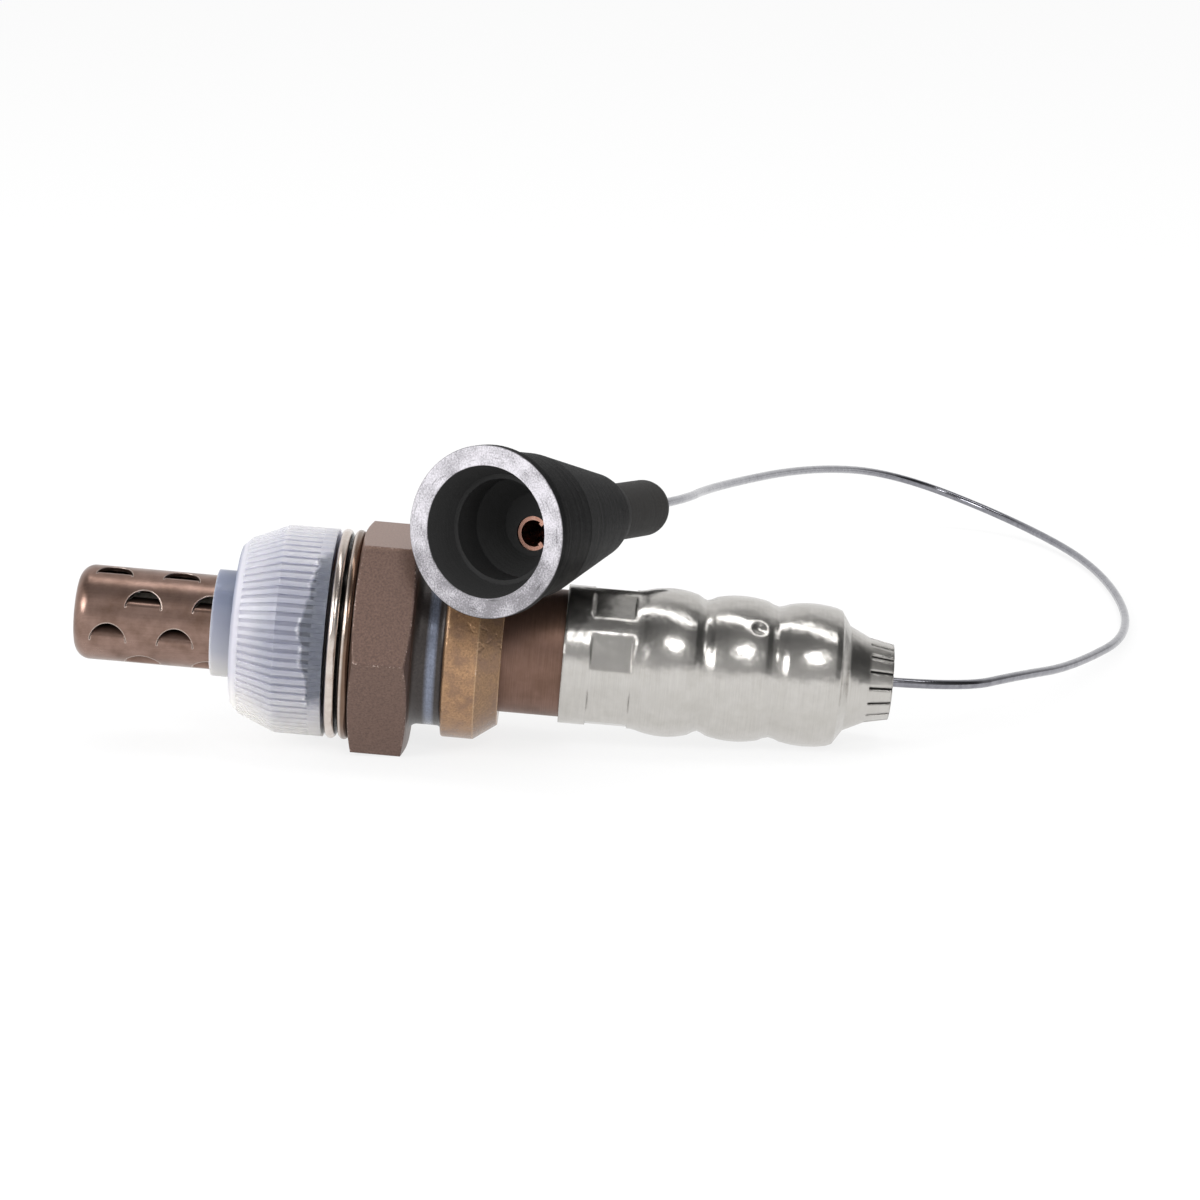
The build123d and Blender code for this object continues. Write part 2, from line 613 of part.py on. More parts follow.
def lead_wire(start, first_bend, last_bend, end):
    """The insulated lead, on straight runs joined by tangent arcs."""
    points = [Vector(p) for p in (start, first_bend, *WIRE_ROUTE, last_bend, end)]
    radii = []
    for before, corner, after in zip(points, points[1:], points[2:]):
        turn = radians((corner - before).get_angle(after - corner))
        shorter = min((corner - before).length, (after - corner).length)
        radii.append(BEND_SHARE * shorter / tan(turn / 2))
    route = FilletPolyline(*points, radius=radii)
    print("wire points", [tuple(round(c, 2) for c in p) for p in points])
    print("wire bend radii", [round(r, 1) for r in radii], "length", round(route.length, 1))
    section = Plane(origin=route @ 0, z_dir=route % 0) * Circle(WIRE_RADIUS)
    return sweep(section, path=route)


SENSOR_PIECES = {
    "metal_shell": metal_shell,
    "louvered_shield": louvered_shield,
    "crush_gasket": crush_gasket,
    "thread_cap": thread_cap,
    "zirconia_thimble": zirconia_thimble,
    "seat_washer": seat_washer,
    "talc_seal": talc_seal,
    "ceramic_bush": ceramic_bush,
    "packing_ring": packing_ring,
    "press_ring": press_ring,
    "cover_tube": cover_tube,
    "contact_bushing": contact_bushing,
    "support_insulator": support_insulator,
    "disc_spring": disc_spring,
    "outer_sleeve": outer_sleeve,
    "grommet": grommet,
    "wire_core": wire_core,
}

# The sensor lies along X with its tip to the left; the local x of its pieces points upwards
axis_way = Vector(cos(rest_tilt), 0, -sin(rest_tilt))
lying = Plane(origin=(0, 0, 0), x_dir=(sin(rest_tilt), 0, cos(rest_tilt)), z_dir=axis_way)
pieces = {name: make() for name, make in SENSOR_PIECES.items()}
box = (lying.location * Compound(list(pieces.values()))).bounding_box()
rest = Pos(-box.center().X, -box.center().Y, -box.min.Z) * lying.location
placed = {name: rest * piece for name, piece in pieces.items()}

boot_frame = Plane(origin=BOOT_MOUTH, x_dir=(0, 0, -1), z_dir=BOOT_DIRECTION)
placed["rubber_boot"] = boot_frame.location * rubber_boot()
placed["socket_terminal"] = boot_frame.location * socket_terminal()
placed["lead_wire"] = lead_wire(
    (rest * Pos(0, 0, wire_front)).position,
    (rest * Pos(0, 0, nozzle_end + WIRE_LEAD)).position,
    (boot_frame.location * Pos(0, 0, LAST_BEND)).position,
    (boot_frame.location * Pos(0, 0, WIRE_END)).position,
)

os.makedirs("parts", exist_ok=True)
for name, piece in placed.items():
    export_step(piece, f"parts/{name}.step")
    print(name, "volume", round(piece.volume, 2), "solids", len(piece.solids()))
print("seat on the axis", (rest * Pos(0, 0, 0)).position, "axis", axis_way)
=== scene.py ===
# %% [markdown]
# # An oxygen sensor with one lead
# This lesson dresses the solids of an exhaust oxygen sensor: a louvered shield, a plastic cap over the
# thread, a wrench hex, a crimped sleeve, and one thin lead that ends in a rubber boot. The solids arrive at
# their real size and place, in metres, so no step moves them. Each step gives a solid the finish of the
# real piece, or adds a piece that is easier to make as a mesh or a curve.

# %% Load the solids
import json
import math

import bpy
from mathutils import Matrix, Quaternion, Vector


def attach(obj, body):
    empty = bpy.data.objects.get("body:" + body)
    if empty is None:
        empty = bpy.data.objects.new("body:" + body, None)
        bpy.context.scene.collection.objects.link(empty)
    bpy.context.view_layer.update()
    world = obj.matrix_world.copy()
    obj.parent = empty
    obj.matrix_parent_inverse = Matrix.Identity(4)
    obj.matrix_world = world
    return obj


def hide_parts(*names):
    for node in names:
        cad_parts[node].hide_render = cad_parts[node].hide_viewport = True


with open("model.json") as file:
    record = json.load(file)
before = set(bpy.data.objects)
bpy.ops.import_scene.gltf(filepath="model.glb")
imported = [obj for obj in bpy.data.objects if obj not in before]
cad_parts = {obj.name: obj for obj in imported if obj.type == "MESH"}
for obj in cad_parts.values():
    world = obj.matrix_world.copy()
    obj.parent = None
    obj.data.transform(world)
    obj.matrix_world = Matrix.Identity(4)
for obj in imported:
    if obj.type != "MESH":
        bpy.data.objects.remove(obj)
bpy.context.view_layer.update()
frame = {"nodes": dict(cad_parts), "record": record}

nodes = frame["nodes"]
mounts = {mount["name"]: mount for mount in frame["record"]["mounts"]}
print("solids:", ", ".join(sorted(nodes)))

# %% [markdown]
# ## Two axes to hang everything on
# The sensor was turned on a lathe and the boot was moulded round a pin, so most of their patterns follow an
# axis. Both axes can be read from the mounts in the record. A matrix for each gives its place: its third
# column runs along the axis, and its first one points up on the sensor and down on the boot.

# %% Axes of the sensor and the boot
MM = 0.001
THREAD_MOUNT_STATION = -7.0
SOCKET_MOUNT_STATION = 5.65


def axis_matrix(origin, along, upward):
    """A matrix whose third column runs along an axis and whose first leans towards a direction."""
    third = Vector(along).normalized()
    first = (Vector(upward) - third * third.dot(Vector(upward))).normalized()
    turn = Matrix((first, third.cross(first), third)).transposed().to_4x4()
    return Matrix.Translation(origin) @ turn


thread_axis = -Vector(mounts["exhaust_thread"]["axis"])
gasket_seat = Vector(mounts["exhaust_thread"]["pos_m"]) - thread_axis * THREAD_MOUNT_STATION * MM
sensor_place = axis_matrix(gasket_seat, thread_axis, (0, 0, 1))
boot_axis = -Vector(mounts["boot_socket"]["axis"])
boot_mouth = Vector(mounts["boot_socket"]["pos_m"]) - boot_axis * SOCKET_MOUNT_STATION * MM
boot_place = axis_matrix(boot_mouth, boot_axis, (0, 0, -1))
print("gasket seat at", tuple(round(c / MM, 2) for c in gasket_seat), "mm")
print("boot mouth at", tuple(round(c / MM, 2) for c in boot_mouth), "mm")

# %% [markdown]
# ## The lead first
# The lead is one thin, springy wire. A round bar could be bent along it, but a curve with a bevel is one
# open line whose length can be measured, and it stays smooth. A NURBS spline takes the route's points as
# handles: it leaves the nozzle straight, lies on the table behind the sensor and climbs to the boot. The
# bevel is one metre deep and each point's radius brings it down to the wire's size.

# %% Lead wire
LEAD_DIAMETER = 1.0 * MM
LEAD_ROUTE_MM = [
    (39.56, 0.0, 7.05),
    (49.88, 0.0, 6.19),
    (57.0, 11.2, 4.85),
    (64.4, 25.0, 2.5),
    (74.9, 50.6, 0.6),
    (74.8, 86.6, 0.6),
    (66.0, 112.0, 1.7),
    (50.0, 117.5, 7.1),
    (37.2, 90.2, 12.9),
    (24.1, 52.5, 17.4),
    (20.38, 25.47, 20.88),
    (12.13, 8.47, 22.87),
]

lead_curve = bpy.data.curves.new("lead_jacket", "CURVE")
lead_curve.dimensions = "3D"
lead_line = lead_curve.splines.new("NURBS")
lead_line.points.add(len(LEAD_ROUTE_MM) - 1)
for point, place in zip(lead_line.points, LEAD_ROUTE_MM):
    point.co = (*(c * MM for c in place), 1.0)
    point.radius = LEAD_DIAMETER / 2
lead_line.order_u = 3
lead_line.use_endpoint_u = True
lead_line.resolution_u = 24
lead_curve.bevel_depth = 1.0
lead_curve.bevel_resolution = 6
lead_curve.use_fill_caps = True
lead_jacket = bpy.data.objects.new("lead_jacket", lead_curve)
bpy.context.scene.collection.objects.link(lead_jacket)
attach(lead_jacket, "root")
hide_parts("lead_wire")

# %% [markdown]
# ## The camera of the photograph
# The camera stands in front of the sensor and looks slightly down. A long lens keeps the hex and the
# sleeve in proportion. Its place is written as angles and a distance round a target on the sensor.

# %% Camera
CAMERA_TARGET = Vector((12.07, 0.0, 15.41)) * MM
CAMERA_AZIMUTH = 1.061
CAMERA_ELEVATION = 12.67
CAMERA_ROLL = 0.165
CAMERA_DISTANCE = 0.3759
LENS = 108.0
SENSOR_WIDTH = 36.0

azimuth, elevation = math.radians(CAMERA_AZIMUTH), math.radians(CAMERA_ELEVATION)
back = Vector((
    math.sin(azimuth) * math.cos(elevation),
    -math.cos(azimuth) * math.cos(elevation),
    math.sin(elevation),
))
camera_data = bpy.data.cameras.new("photo_camera")
camera_data.lens = LENS
camera_data.sensor_width = SENSOR_WIDTH
camera_data.clip_start = 0.01
camera = bpy.data.objects.new("photo_camera", camera_data)
camera.rotation_mode = "QUATERNION"
camera.location = CAMERA_TARGET + back * CAMERA_DISTANCE
roll = Quaternion((0, 0, 1), math.radians(CAMERA_ROLL))
camera.rotation_quaternion = (-back).to_track_quat("-Z", "Y") @ roll
bpy.context.scene.collection.objects.link(camera)
bpy.context.scene.camera = camera
print("camera at", tuple(round(c, 4) for c in camera.location))

# %% [markdown]
# ## One function for colours and one for nodes
# Colours are given as sRGB hex codes, but shaders work with linear values, so one function turns
# codes into those. Another adds a node to a graph, with its settings and its inputs. An input is either a
# constant or the output of another node, which is then linked.

# %% Colours and nodes
def linear(code):
    """An sRGB hex code as the linear colour that a socket takes."""
    parts = [int(code[place:place + 2], 16) / 255 for place in (1, 3, 5)]
    return (*(c / 12.92 if c <= 0.04045 else ((c + 0.055) / 1.055) ** 2.4 for c in parts), 1.0)


def add(tree, kind, settings=None, inputs=None):
    """Adds a node with its settings, and sets or links its inputs."""
    node = tree.nodes.new(kind)
    for name, value in (settings or {}).items():
        setattr(node, name, value)
    for name, value in (inputs or {}).items():
        if isinstance(value, bpy.types.NodeSocket):
            tree.links.new(value, node.inputs[name])
        else:
            node.inputs[name].default_value = value
    return node


def new_finish(name, constants):
    """A material with a shader whose constant sockets are set, and the graph to go on with."""
    material = bpy.data.materials.new(name)
    material.use_nodes = True
    tree = material.node_tree
    tree.nodes.clear()
    shader = add(tree, "ShaderNodeBsdfPrincipled", None, constants)
    add(tree, "ShaderNodeOutputMaterial", None, {"Surface": shader.outputs["BSDF"]})
    return material, tree, shader


def connect(tree, shader, outputs):
    """Links the ends of a graph to the shader's sockets."""
    for socket, value in outputs.items():
        tree.links.new(value, shader.inputs[socket])


print("mid grey as a linear colour:", tuple(round(c, 3) for c in linear("#808080")))

# %% [markdown]
# ## Patterns that follow an axis
# Marks from a lathe, a die or a mould follow the axis of their piece. So each graph starts with the point's
# place in millimetres on that axis, and splits it into an angle, a radius and a station along the axis.
# Lines are noise that is fine across and stretched along. Edges are where a rounded normal turns away from
# the true one. Painted images could hold such marks too, but nodes stay sharp at any size. Between a pair of
# numbers a share goes from nought to one: a SPAN is a pair of a pattern's values, ANGLES are radians round
# the axis, and STATIONS are millimetres along it.

# %% Places, lines and edges
NOISE_LOW, NOISE_HIGH = 0.3, 0.7  # noise lies mostly between these two
FLAT_MATCH = 0.99  # a rounded normal that matches the true one this well is on a face, not on an edge
EDGE_SAMPLES = 6


def own_millimetres(tree, place):
    """Coordinates in millimetres on a piece's own axes, whose third one runs along it."""
    seen = add(tree, "ShaderNodeTexCoord")
    return add(tree, "ShaderNodeMapping", {"vector_type": "TEXTURE"}, {
        "Vector": seen.outputs["Object"],
        "Location": place.translation,
        "Rotation": place.to_euler(),
        "Scale": (MM, MM, MM),
    }).outputs["Vector"]


def round_the_axis(tree, point):
    """A point's angle round the axis, its radius and its station along the axis."""
    split = add(tree, "ShaderNodeSeparateXYZ", None, {"Vector": point})
    across, up, station = split.outputs["Y"], split.outputs["X"], split.outputs["Z"]
    angle = add(tree, "ShaderNodeMath", {"operation": "ARCTAN2"}, {0: across, 1: up}).outputs[0]
    flat = add(tree, "ShaderNodeCombineXYZ", None, {"X": up, "Y": across}).outputs[0]
    radius = add(tree, "ShaderNodeVectorMath", {"operation": "LENGTH"}, {0: flat}).outputs["Value"]
    return angle, radius, station


def lined_noise(tree, across, along, spacing, stretch, detail):
    """Noise in lines with a spacing in millimetres, stretched so many times along them."""
    fine = add(tree, "ShaderNodeMath", {"operation": "DIVIDE"}, {0: across, 1: spacing}).outputs[0]
    slow = add(tree, "ShaderNodeMath", {"operation": "DIVIDE"}, {0: along, 1: spacing * stretch}).outputs[0]
    place = add(tree, "ShaderNodeCombineXYZ", None, {"X": fine, "Y": slow}).outputs[0]
    return add(tree, "ShaderNodeTexNoise", None, {
        "Vector": place, "Scale": 1.0, "Detail": detail,
    }).outputs[0]


def edge_share(tree, rounded, edge_match):
    """Nought on faces, and one on edges, where the rounded normal matches the true one less than given."""
    true = add(tree, "ShaderNodeNewGeometry").outputs["Normal"]
    match = add(tree, "ShaderNodeVectorMath", {"operation": "DOT_PRODUCT"}, {0: rounded, 1: true})
    return add(tree, "ShaderNodeMapRange", None, {
        "Value": match.outputs["Value"], "From Min": FLAT_MATCH, "From Max": edge_match,
    }).outputs[0]


SMOOTH_UP_TO = 28.0


def dress(name, material):
    """Gives a solid its finish and shades its round faces smoothly, with its edges kept sharp."""
    mesh = nodes[name].data
    mesh.materials.clear()
    mesh.materials.append(material)
    mesh.shade_smooth()
    mesh.set_sharp_from_angle(angle=math.radians(SMOOTH_UP_TO))


print("faces are smooth up to", SMOOTH_UP_TO, "degrees")

# %% [markdown]
# ## Browned steel: the shell
# The shell is turned from stainless bar and browned by heat, which leaves a dull, grainy oxide with a faint
# sheen. The groove behind the hex has painted shade on its flanks, and a bare blue-grey ring between them
# whose colour also paints the groove's highlight. The collar is bronze with brown clouds and shallow dents,
# with a painted highlight along its edges, and browner on its crimped rear. The flat on top of the hex is
# painted paler, as painted light from above, and all edges have worn specks. The faces could have a
# material each, but the zones blend into each other on what is one piece, so one graph holds all of it, and
# the station along the axis picks the zone.

# %% Shell zones
HEX_BROWN = "#675046"
# painted light: the flat on top of the hex is paler because light falls on it from above
HEX_TOP_PAINTED_LIGHT = "#876a5d"
THREAD_GREY = "#8d8a88"
# painted shade on the flanks of the groove behind the hex
GROOVE_PAINTED_SHADE = "#3d3735"
# a bare steel ring whose colour also paints the groove's highlight
BARE_STEEL_AND_HIGHLIGHT = "#7c8395"
COLLAR_BRONZE = "#a07c5b"
COLLAR_BROWN = "#7d6150"
# a painted highlight along the edges of the collar
COLLAR_EDGE_HIGHLIGHT = "#d0ab82"
CRIMP_BROWN = "#8c6d50"
WORN_EDGE = "#d8c6bc"
THREAD_ROUGHNESS = 0.35
SHELL_ZONES = [
    # station where the zone starts, half width of the change, colour, roughness
    (0.0, 0.05, HEX_BROWN, 0.46),
    # painted shade, then the bare ring with its painted highlight, then painted shade again
    (6.2, 0.1, GROOVE_PAINTED_SHADE, 0.4),
    (7.75, 0.25, BARE_STEEL_AND_HIGHLIGHT, 0.2),
    (8.62, 0.18, GROOVE_PAINTED_SHADE, 0.35),
    (9.42, 0.06, COLLAR_BRONZE, 0.27),
    (12.86, 0.05, CRIMP_BROWN, 0.24),
]
HEX_REAR = 6.0
TOP_FLAT_ANGLES = (0.55, 0.50)  # the flat on top reaches half of 60 degrees to each side, in radians


def shell_zones(tree, angle, station):
    """The colour and roughness of each zone, and painted light that makes the flat on top of the hex paler.
    """
    colour, roughness = linear(THREAD_GREY), THREAD_ROUGHNESS
    for start, half, code, rough in SHELL_ZONES:
        reached = add(tree, "ShaderNodeMapRange", None, {
            "Value": station, "From Min": start - half, "From Max": start + half,
        }).outputs[0]
        colour = add(tree, "ShaderNodeMix", {"data_type": "RGBA"}, {
            0: reached, 6: colour, 7: linear(code),
        }).outputs[2]
        roughness = add(tree, "ShaderNodeMix", None, {0: reached, 2: roughness, 3: rough}).outputs[0]
    sideways = add(tree, "ShaderNodeMath", {"operation": "ABSOLUTE"}, {0: angle}).outputs[0]
    top_flat = add(tree, "ShaderNodeMapRange", None, {
        "Value": sideways, "From Min": TOP_FLAT_ANGLES[0], "From Max": TOP_FLAT_ANGLES[1],
    }).outputs[0]
    on_hex = add(tree, "ShaderNodeMath", {"operation": "LESS_THAN"}, {0: station, 1: HEX_REAR}).outputs[0]
    # painted light on the top flat of the hex
    top_painted_light = add(tree, "ShaderNodeMath", {"operation": "MULTIPLY"}, {0: top_flat, 1: on_hex}).outputs[0]
    colour = add(tree, "ShaderNodeMix", {"data_type": "RGBA"}, {
        0: top_painted_light, 6: colour, 7: linear(HEX_TOP_PAINTED_LIGHT),
    }).outputs[2]
    return colour, roughness


print("shell zones:", [zone[0] for zone in SHELL_ZONES])

# %% Shell wear
BLOTCH_MM = 1.6
BLOTCH_SPAN = (0.42, 0.7)
BLOTCH_SHARE = 0.75
GRAIN_SHADES = (0.64, 1.36)
SPECK_SPAN = (0.57, 0.64)


def shell_wear(tree, colour, point, grain, edge, collar):
    """Grains all over, brown clouds and a painted highlight on the edges of the collar, and worn specks on
    every edge.
    """
    shade = add(tree, "ShaderNodeMapRange", None, {
        "Value": grain, "From Min": NOISE_LOW, "From Max": NOISE_HIGH,
        "To Min": GRAIN_SHADES[0], "To Max": GRAIN_SHADES[1],
    }).outputs[0]
    colour = add(tree, "ShaderNodeVectorMath", {"operation": "SCALE"}, {
        0: colour, "Scale": shade,
    }).outputs[0]
    blotch = add(tree, "ShaderNodeTexNoise", None, {
        "Vector": point, "Scale": 1 / BLOTCH_MM, "Detail": 3.0,
    }).outputs[0]
    cloudy = add(tree, "ShaderNodeMapRange", None, {
        "Value": blotch, "From Min": BLOTCH_SPAN[0], "From Max": BLOTCH_SPAN[1], "To Max": BLOTCH_SHARE,
    }).outputs[0]
    speck = add(tree, "ShaderNodeMapRange", None, {
        "Value": grain, "From Min": SPECK_SPAN[0], "From Max": SPECK_SPAN[1],
    }).outputs[0]
    for where, mask, code in (
        (cloudy, collar, COLLAR_BROWN),
        (edge, collar, COLLAR_EDGE_HIGHLIGHT),
        (edge, speck, WORN_EDGE),
    ):
        share = add(tree, "ShaderNodeMath", {"operation": "MULTIPLY"}, {0: where, 1: mask}).outputs[0]
        colour = add(tree, "ShaderNodeMix", {"data_type": "RGBA"}, {
            0: share, 6: colour, 7: linear(code),
        }).outputs[2]
    return colour


print("brown clouds of", BLOTCH_MM, "mm on the collar")

# %% Shell relief
THREAD_PITCH = 1.5
THREAD_REAR = -2.9
GRAIN_HEIGHT_MM = 0.03
DENT_MM = 1.1
DENT_SPAN = (0.57, 0.72)
DENT_HEIGHT_MM = -0.06


def shell_relief(tree, point, angle, station, grain, collar):
    """Heights in millimetres: ridges of the thread under the cap, grains, and dents on the collar."""
    turns = add(tree, "ShaderNodeMath", {"operation": "MULTIPLY_ADD"}, {
        0: angle, 1: THREAD_PITCH / math.tau, 2: station,
    }).outputs[0]
    ridge = add(tree, "ShaderNodeMath", {"operation": "PINGPONG"}, {
        0: turns, 1: THREAD_PITCH / 2,
    }).outputs[0]
    threaded = add(tree, "ShaderNodeMath", {"operation": "LESS_THAN"}, {
        0: station, 1: THREAD_REAR,
    }).outputs[0]
    ridge = add(tree, "ShaderNodeMath", {"operation": "MULTIPLY"}, {0: ridge, 1: threaded}).outputs[0]
    height = add(tree, "ShaderNodeMath", {"operation": "MULTIPLY_ADD"}, {
        0: grain, 1: GRAIN_HEIGHT_MM, 2: ridge,
    }).outputs[0]
    spread = add(tree, "ShaderNodeTexNoise", None, {
        "Vector": point, "Scale": 1 / DENT_MM, "Detail": 2.0,
    }).outputs[0]
    dent = add(tree, "ShaderNodeMapRange", None, {
        "Value": spread, "From Min": DENT_SPAN[0], "From Max": DENT_SPAN[1], "To Max": DENT_HEIGHT_MM,
    }).outputs[0]
    return add(tree, "ShaderNodeMath", {"operation": "MULTIPLY_ADD"}, {
        0: dent, 1: collar, 2: height,
    }).outputs[0]


print("dents of", DENT_MM, "mm on the collar")

# %% Shell finish
GRAIN_MM = 0.22
COLLAR_FRONT = 9.4
SHELL_EDGE_MM = 0.35
SHELL_EDGE_MATCH = 0.93
RELIEF_STRENGTH = 0.8


def shell_finish():
    """Dull brown steel: the half metallic shader dulls it, and the thin coat gives flats a sheen when they
    are seen at a low angle."""
    material, tree, shader = new_finish("browned_shell_steel", {
        "Metallic": 0.55, "Coat Weight": 0.3, "Coat Roughness": 0.36,
    })
    point = own_millimetres(tree, sensor_place)
    angle, _, station = round_the_axis(tree, point)
    grain = add(tree, "ShaderNodeTexNoise", None, {
        "Vector": point, "Scale": 1 / GRAIN_MM, "Detail": 4.0, "Roughness": 0.7,
    }).outputs[0]
    collar = add(tree, "ShaderNodeMath", {"operation": "GREATER_THAN"}, {
        0: station, 1: COLLAR_FRONT,
    }).outputs[0]
    rounded = add(tree, "ShaderNodeBevel", {"samples": EDGE_SAMPLES}, {
        "Radius": SHELL_EDGE_MM * MM,
    }).outputs[0]
    edge = edge_share(tree, rounded, SHELL_EDGE_MATCH)
    colour, roughness = shell_zones(tree, angle, station)
    bump = add(tree, "ShaderNodeBump", None, {
        "Height": shell_relief(tree, point, angle, station, grain, collar),
        "Distance": MM, "Strength": RELIEF_STRENGTH, "Normal": rounded,
    })
    connect(tree, shader, {
        "Base Color": shell_wear(tree, colour, point, grain, edge, collar),
        "Roughness": roughness,
        "Normal": bump.outputs[0],
    })
    return material


dress("metal_shell", shell_finish())
print("shell dressed in browned steel with grains of", GRAIN_MM, "mm")

# %% [markdown]
# ## Stainless sheet and tube
# The shield, the gasket, the cover tube and the sleeve are drawn or rolled from stainless sheet. Drawing
# leaves fine lines along the pull, turning leaves lines round the axis, and heat tints the metal from straw
# to brown. They share one recipe: a colour, a second colour in cloudy blotches, a roughness that varies a
# little, and lines whose spacing is given in millimetres. Real lines are finer, and are drawn this coarse
# so that they show. Thin sheet is never quite even, so a slow waviness bends what it mirrors. Painted shade
# darkens what lies deep inside, a painted reflection browns the side that faces the hex, and a painted
# highlight brightens the edges.

# %% Sheet metal recipe
LINE_STRETCH = 40
CLOUD_SPAN = (0.35, 0.68)
ROUGHER, SMOOTHER = 0.04, 0.03
# how dark the painted shade deep inside gets
DEEP_SHADE_LEAST = 0.06
# a painted reflection of the brown hex on the gasket's rear bead
REFLECTION_BLEND = 0.12
REFLECTION_SHARE = 0.9
SHEET_EDGE_MM = 0.2
SHEET_EDGE_MATCH = 0.90
WAVE_MM = 2.6


def painted_deep_shade(tree, colour, radius, station, low, high, front):
    """Painted shade: darkens a colour below a radius, behind a station."""
    unshaded = add(tree, "ShaderNodeMapRange", None, {
        "Value": radius, "From Min": low, "From Max": high, "To Min": DEEP_SHADE_LEAST,
    }).outputs[0]
    ahead = add(tree, "ShaderNodeMath", {"operation": "LESS_THAN"}, {0: station, 1: front}).outputs[0]
    unshaded = add(tree, "ShaderNodeMath", {"operation": "MAXIMUM"}, {0: unshaded, 1: ahead}).outputs[0]
    return add(tree, "ShaderNodeVectorMath", {"operation": "SCALE"}, {
        0: colour, "Scale": unshaded,
    }).outputs[0]


def painted_hex_reflection(tree, colour, station, middle, unreflected_half, code):
    """Paints a reflection in a given colour on what lies further than so much from a station."""
    away = add(tree, "ShaderNodeMath", {"operation": "SUBTRACT"}, {0: station, 1: middle}).outputs[0]
    away = add(tree, "ShaderNodeMath", {"operation": "ABSOLUTE"}, {0: away}).outputs[0]
    hex_reflection = add(tree, "ShaderNodeMapRange", None, {
        "Value": away, "To Max": REFLECTION_SHARE,
        "From Min": unreflected_half - REFLECTION_BLEND, "From Max": unreflected_half + REFLECTION_BLEND,
    }).outputs[0]
    return add(tree, "ShaderNodeMix", {"data_type": "RGBA"}, {
        0: hex_reflection, 6: colour, 7: linear(code),
    }).outputs[2]


def sheet_finish(name, code, cloud_code, cloud_mm, metallic, roughness, line_mm, line_depth, lines_along,
                 streaks=0.04, wave_depth=0.0, deep_shade=None, hex_reflection=None, edge_highlight_code=None, edge_mm=SHEET_EDGE_MM):
    """A drawn or turned sheet. Lengths are in millimetres, and streaks are how much the lines shade it."""
    material, tree, shader = new_finish(name, {"Metallic": metallic})
    point = own_millimetres(tree, sensor_place)
    angle, radius, station = round_the_axis(tree, point)
    arc = add(tree, "ShaderNodeMath", {"operation": "MULTIPLY"}, {0: angle, 1: radius}).outputs[0]
    across, along = (arc, station) if lines_along else (station, arc)
    lines = lined_noise(tree, across, along, line_mm, LINE_STRETCH, 3.0)
    cloud = add(tree, "ShaderNodeTexNoise", None, {
        "Vector": point, "Scale": 1 / cloud_mm, "Detail": 5.0, "Roughness": 0.6,
    }).outputs[0]
    mixed = add(tree, "ShaderNodeMapRange", None, {
        "Value": cloud, "From Min": CLOUD_SPAN[0], "From Max": CLOUD_SPAN[1],
    }).outputs[0]
    colour = add(tree, "ShaderNodeMix", {"data_type": "RGBA"}, {
        0: mixed, 6: linear(code), 7: linear(cloud_code),
    }).outputs[2]
    streak = add(tree, "ShaderNodeMapRange", None, {
        "Value": lines, "From Min": NOISE_LOW, "From Max": NOISE_HIGH,
        "To Min": 1 - streaks, "To Max": 1 + streaks,
    }).outputs[0]
    colour = add(tree, "ShaderNodeVectorMath", {"operation": "SCALE"}, {
        0: colour, "Scale": streak,
    }).outputs[0]
    if deep_shade:
        colour = painted_deep_shade(tree, colour, radius, station, **deep_shade)
    if hex_reflection:
        colour = painted_hex_reflection(tree, colour, station, **hex_reflection)
    normal = add(tree, "ShaderNodeBevel", {"samples": EDGE_SAMPLES}, {"Radius": edge_mm * MM}).outputs[0]
    # a painted highlight on the edges
    if edge_highlight_code:
        colour = add(tree, "ShaderNodeMix", {"data_type": "RGBA"}, {
            0: edge_share(tree, normal, SHEET_EDGE_MATCH), 6: colour, 7: linear(edge_highlight_code),
        }).outputs[2]
    if wave_depth:
        wave = add(tree, "ShaderNodeTexNoise", None, {
            "Vector": point, "Scale": 1 / WAVE_MM, "Detail": 2.0,
        }).outputs[0]
        normal = add(tree, "ShaderNodeBump", None, {
            "Height": wave, "Distance": wave_depth * MM, "Strength": 1.0, "Normal": normal,
        }).outputs[0]
    rough = add(tree, "ShaderNodeMapRange", None, {
        "Value": cloud, "From Min": NOISE_LOW, "From Max": NOISE_HIGH,
        "To Min": roughness - SMOOTHER, "To Max": roughness + ROUGHER,
    }).outputs[0]
    bump = add(tree, "ShaderNodeBump", None, {
        "Height": lines, "Distance": line_depth * MM, "Strength": 1.0, "Normal": normal,
    })
    connect(tree, shader, {"Base Color": colour, "Roughness": rough, "Normal": bump.outputs[0]})
    return material


print("sheet metal waves over", WAVE_MM, "mm")

# %% Sheet metal finishes
# Exhaust gas browns the shield. Painted shade makes its louvers read as holes, and painted highlights on the
# edges draw their flaps.
dress("louvered_shield", sheet_finish(
    "heat_tinted_shield_sheet", "#957b70", "#765e52", cloud_mm=2.4, metallic=0.9, roughness=0.30,
    line_mm=0.15, line_depth=0.001, lines_along=True, streaks=0.06, wave_depth=0.05,
    deep_shade={"low": 3.9, "high": 4.85, "front": -28.4}, edge_highlight_code="#d9c8be"))
# The gasket's beads gleam as two bright rings, with painted shade between them and a painted reflection of
# the brown hex on the side towards it.
dress("crush_gasket", sheet_finish(
    "bright_gasket_strip", "#dcd2cb", "#cdbfb5", cloud_mm=1.5, metallic=1.0, roughness=0.24,
    line_mm=0.08, line_depth=0.0005, lines_along=False,
    deep_shade={"low": 10.55, "high": 10.82, "front": -2.6},
    hex_reflection={"middle": -1.75, "unreflected_half": 1.0, "code": "#6a4e3a"}))
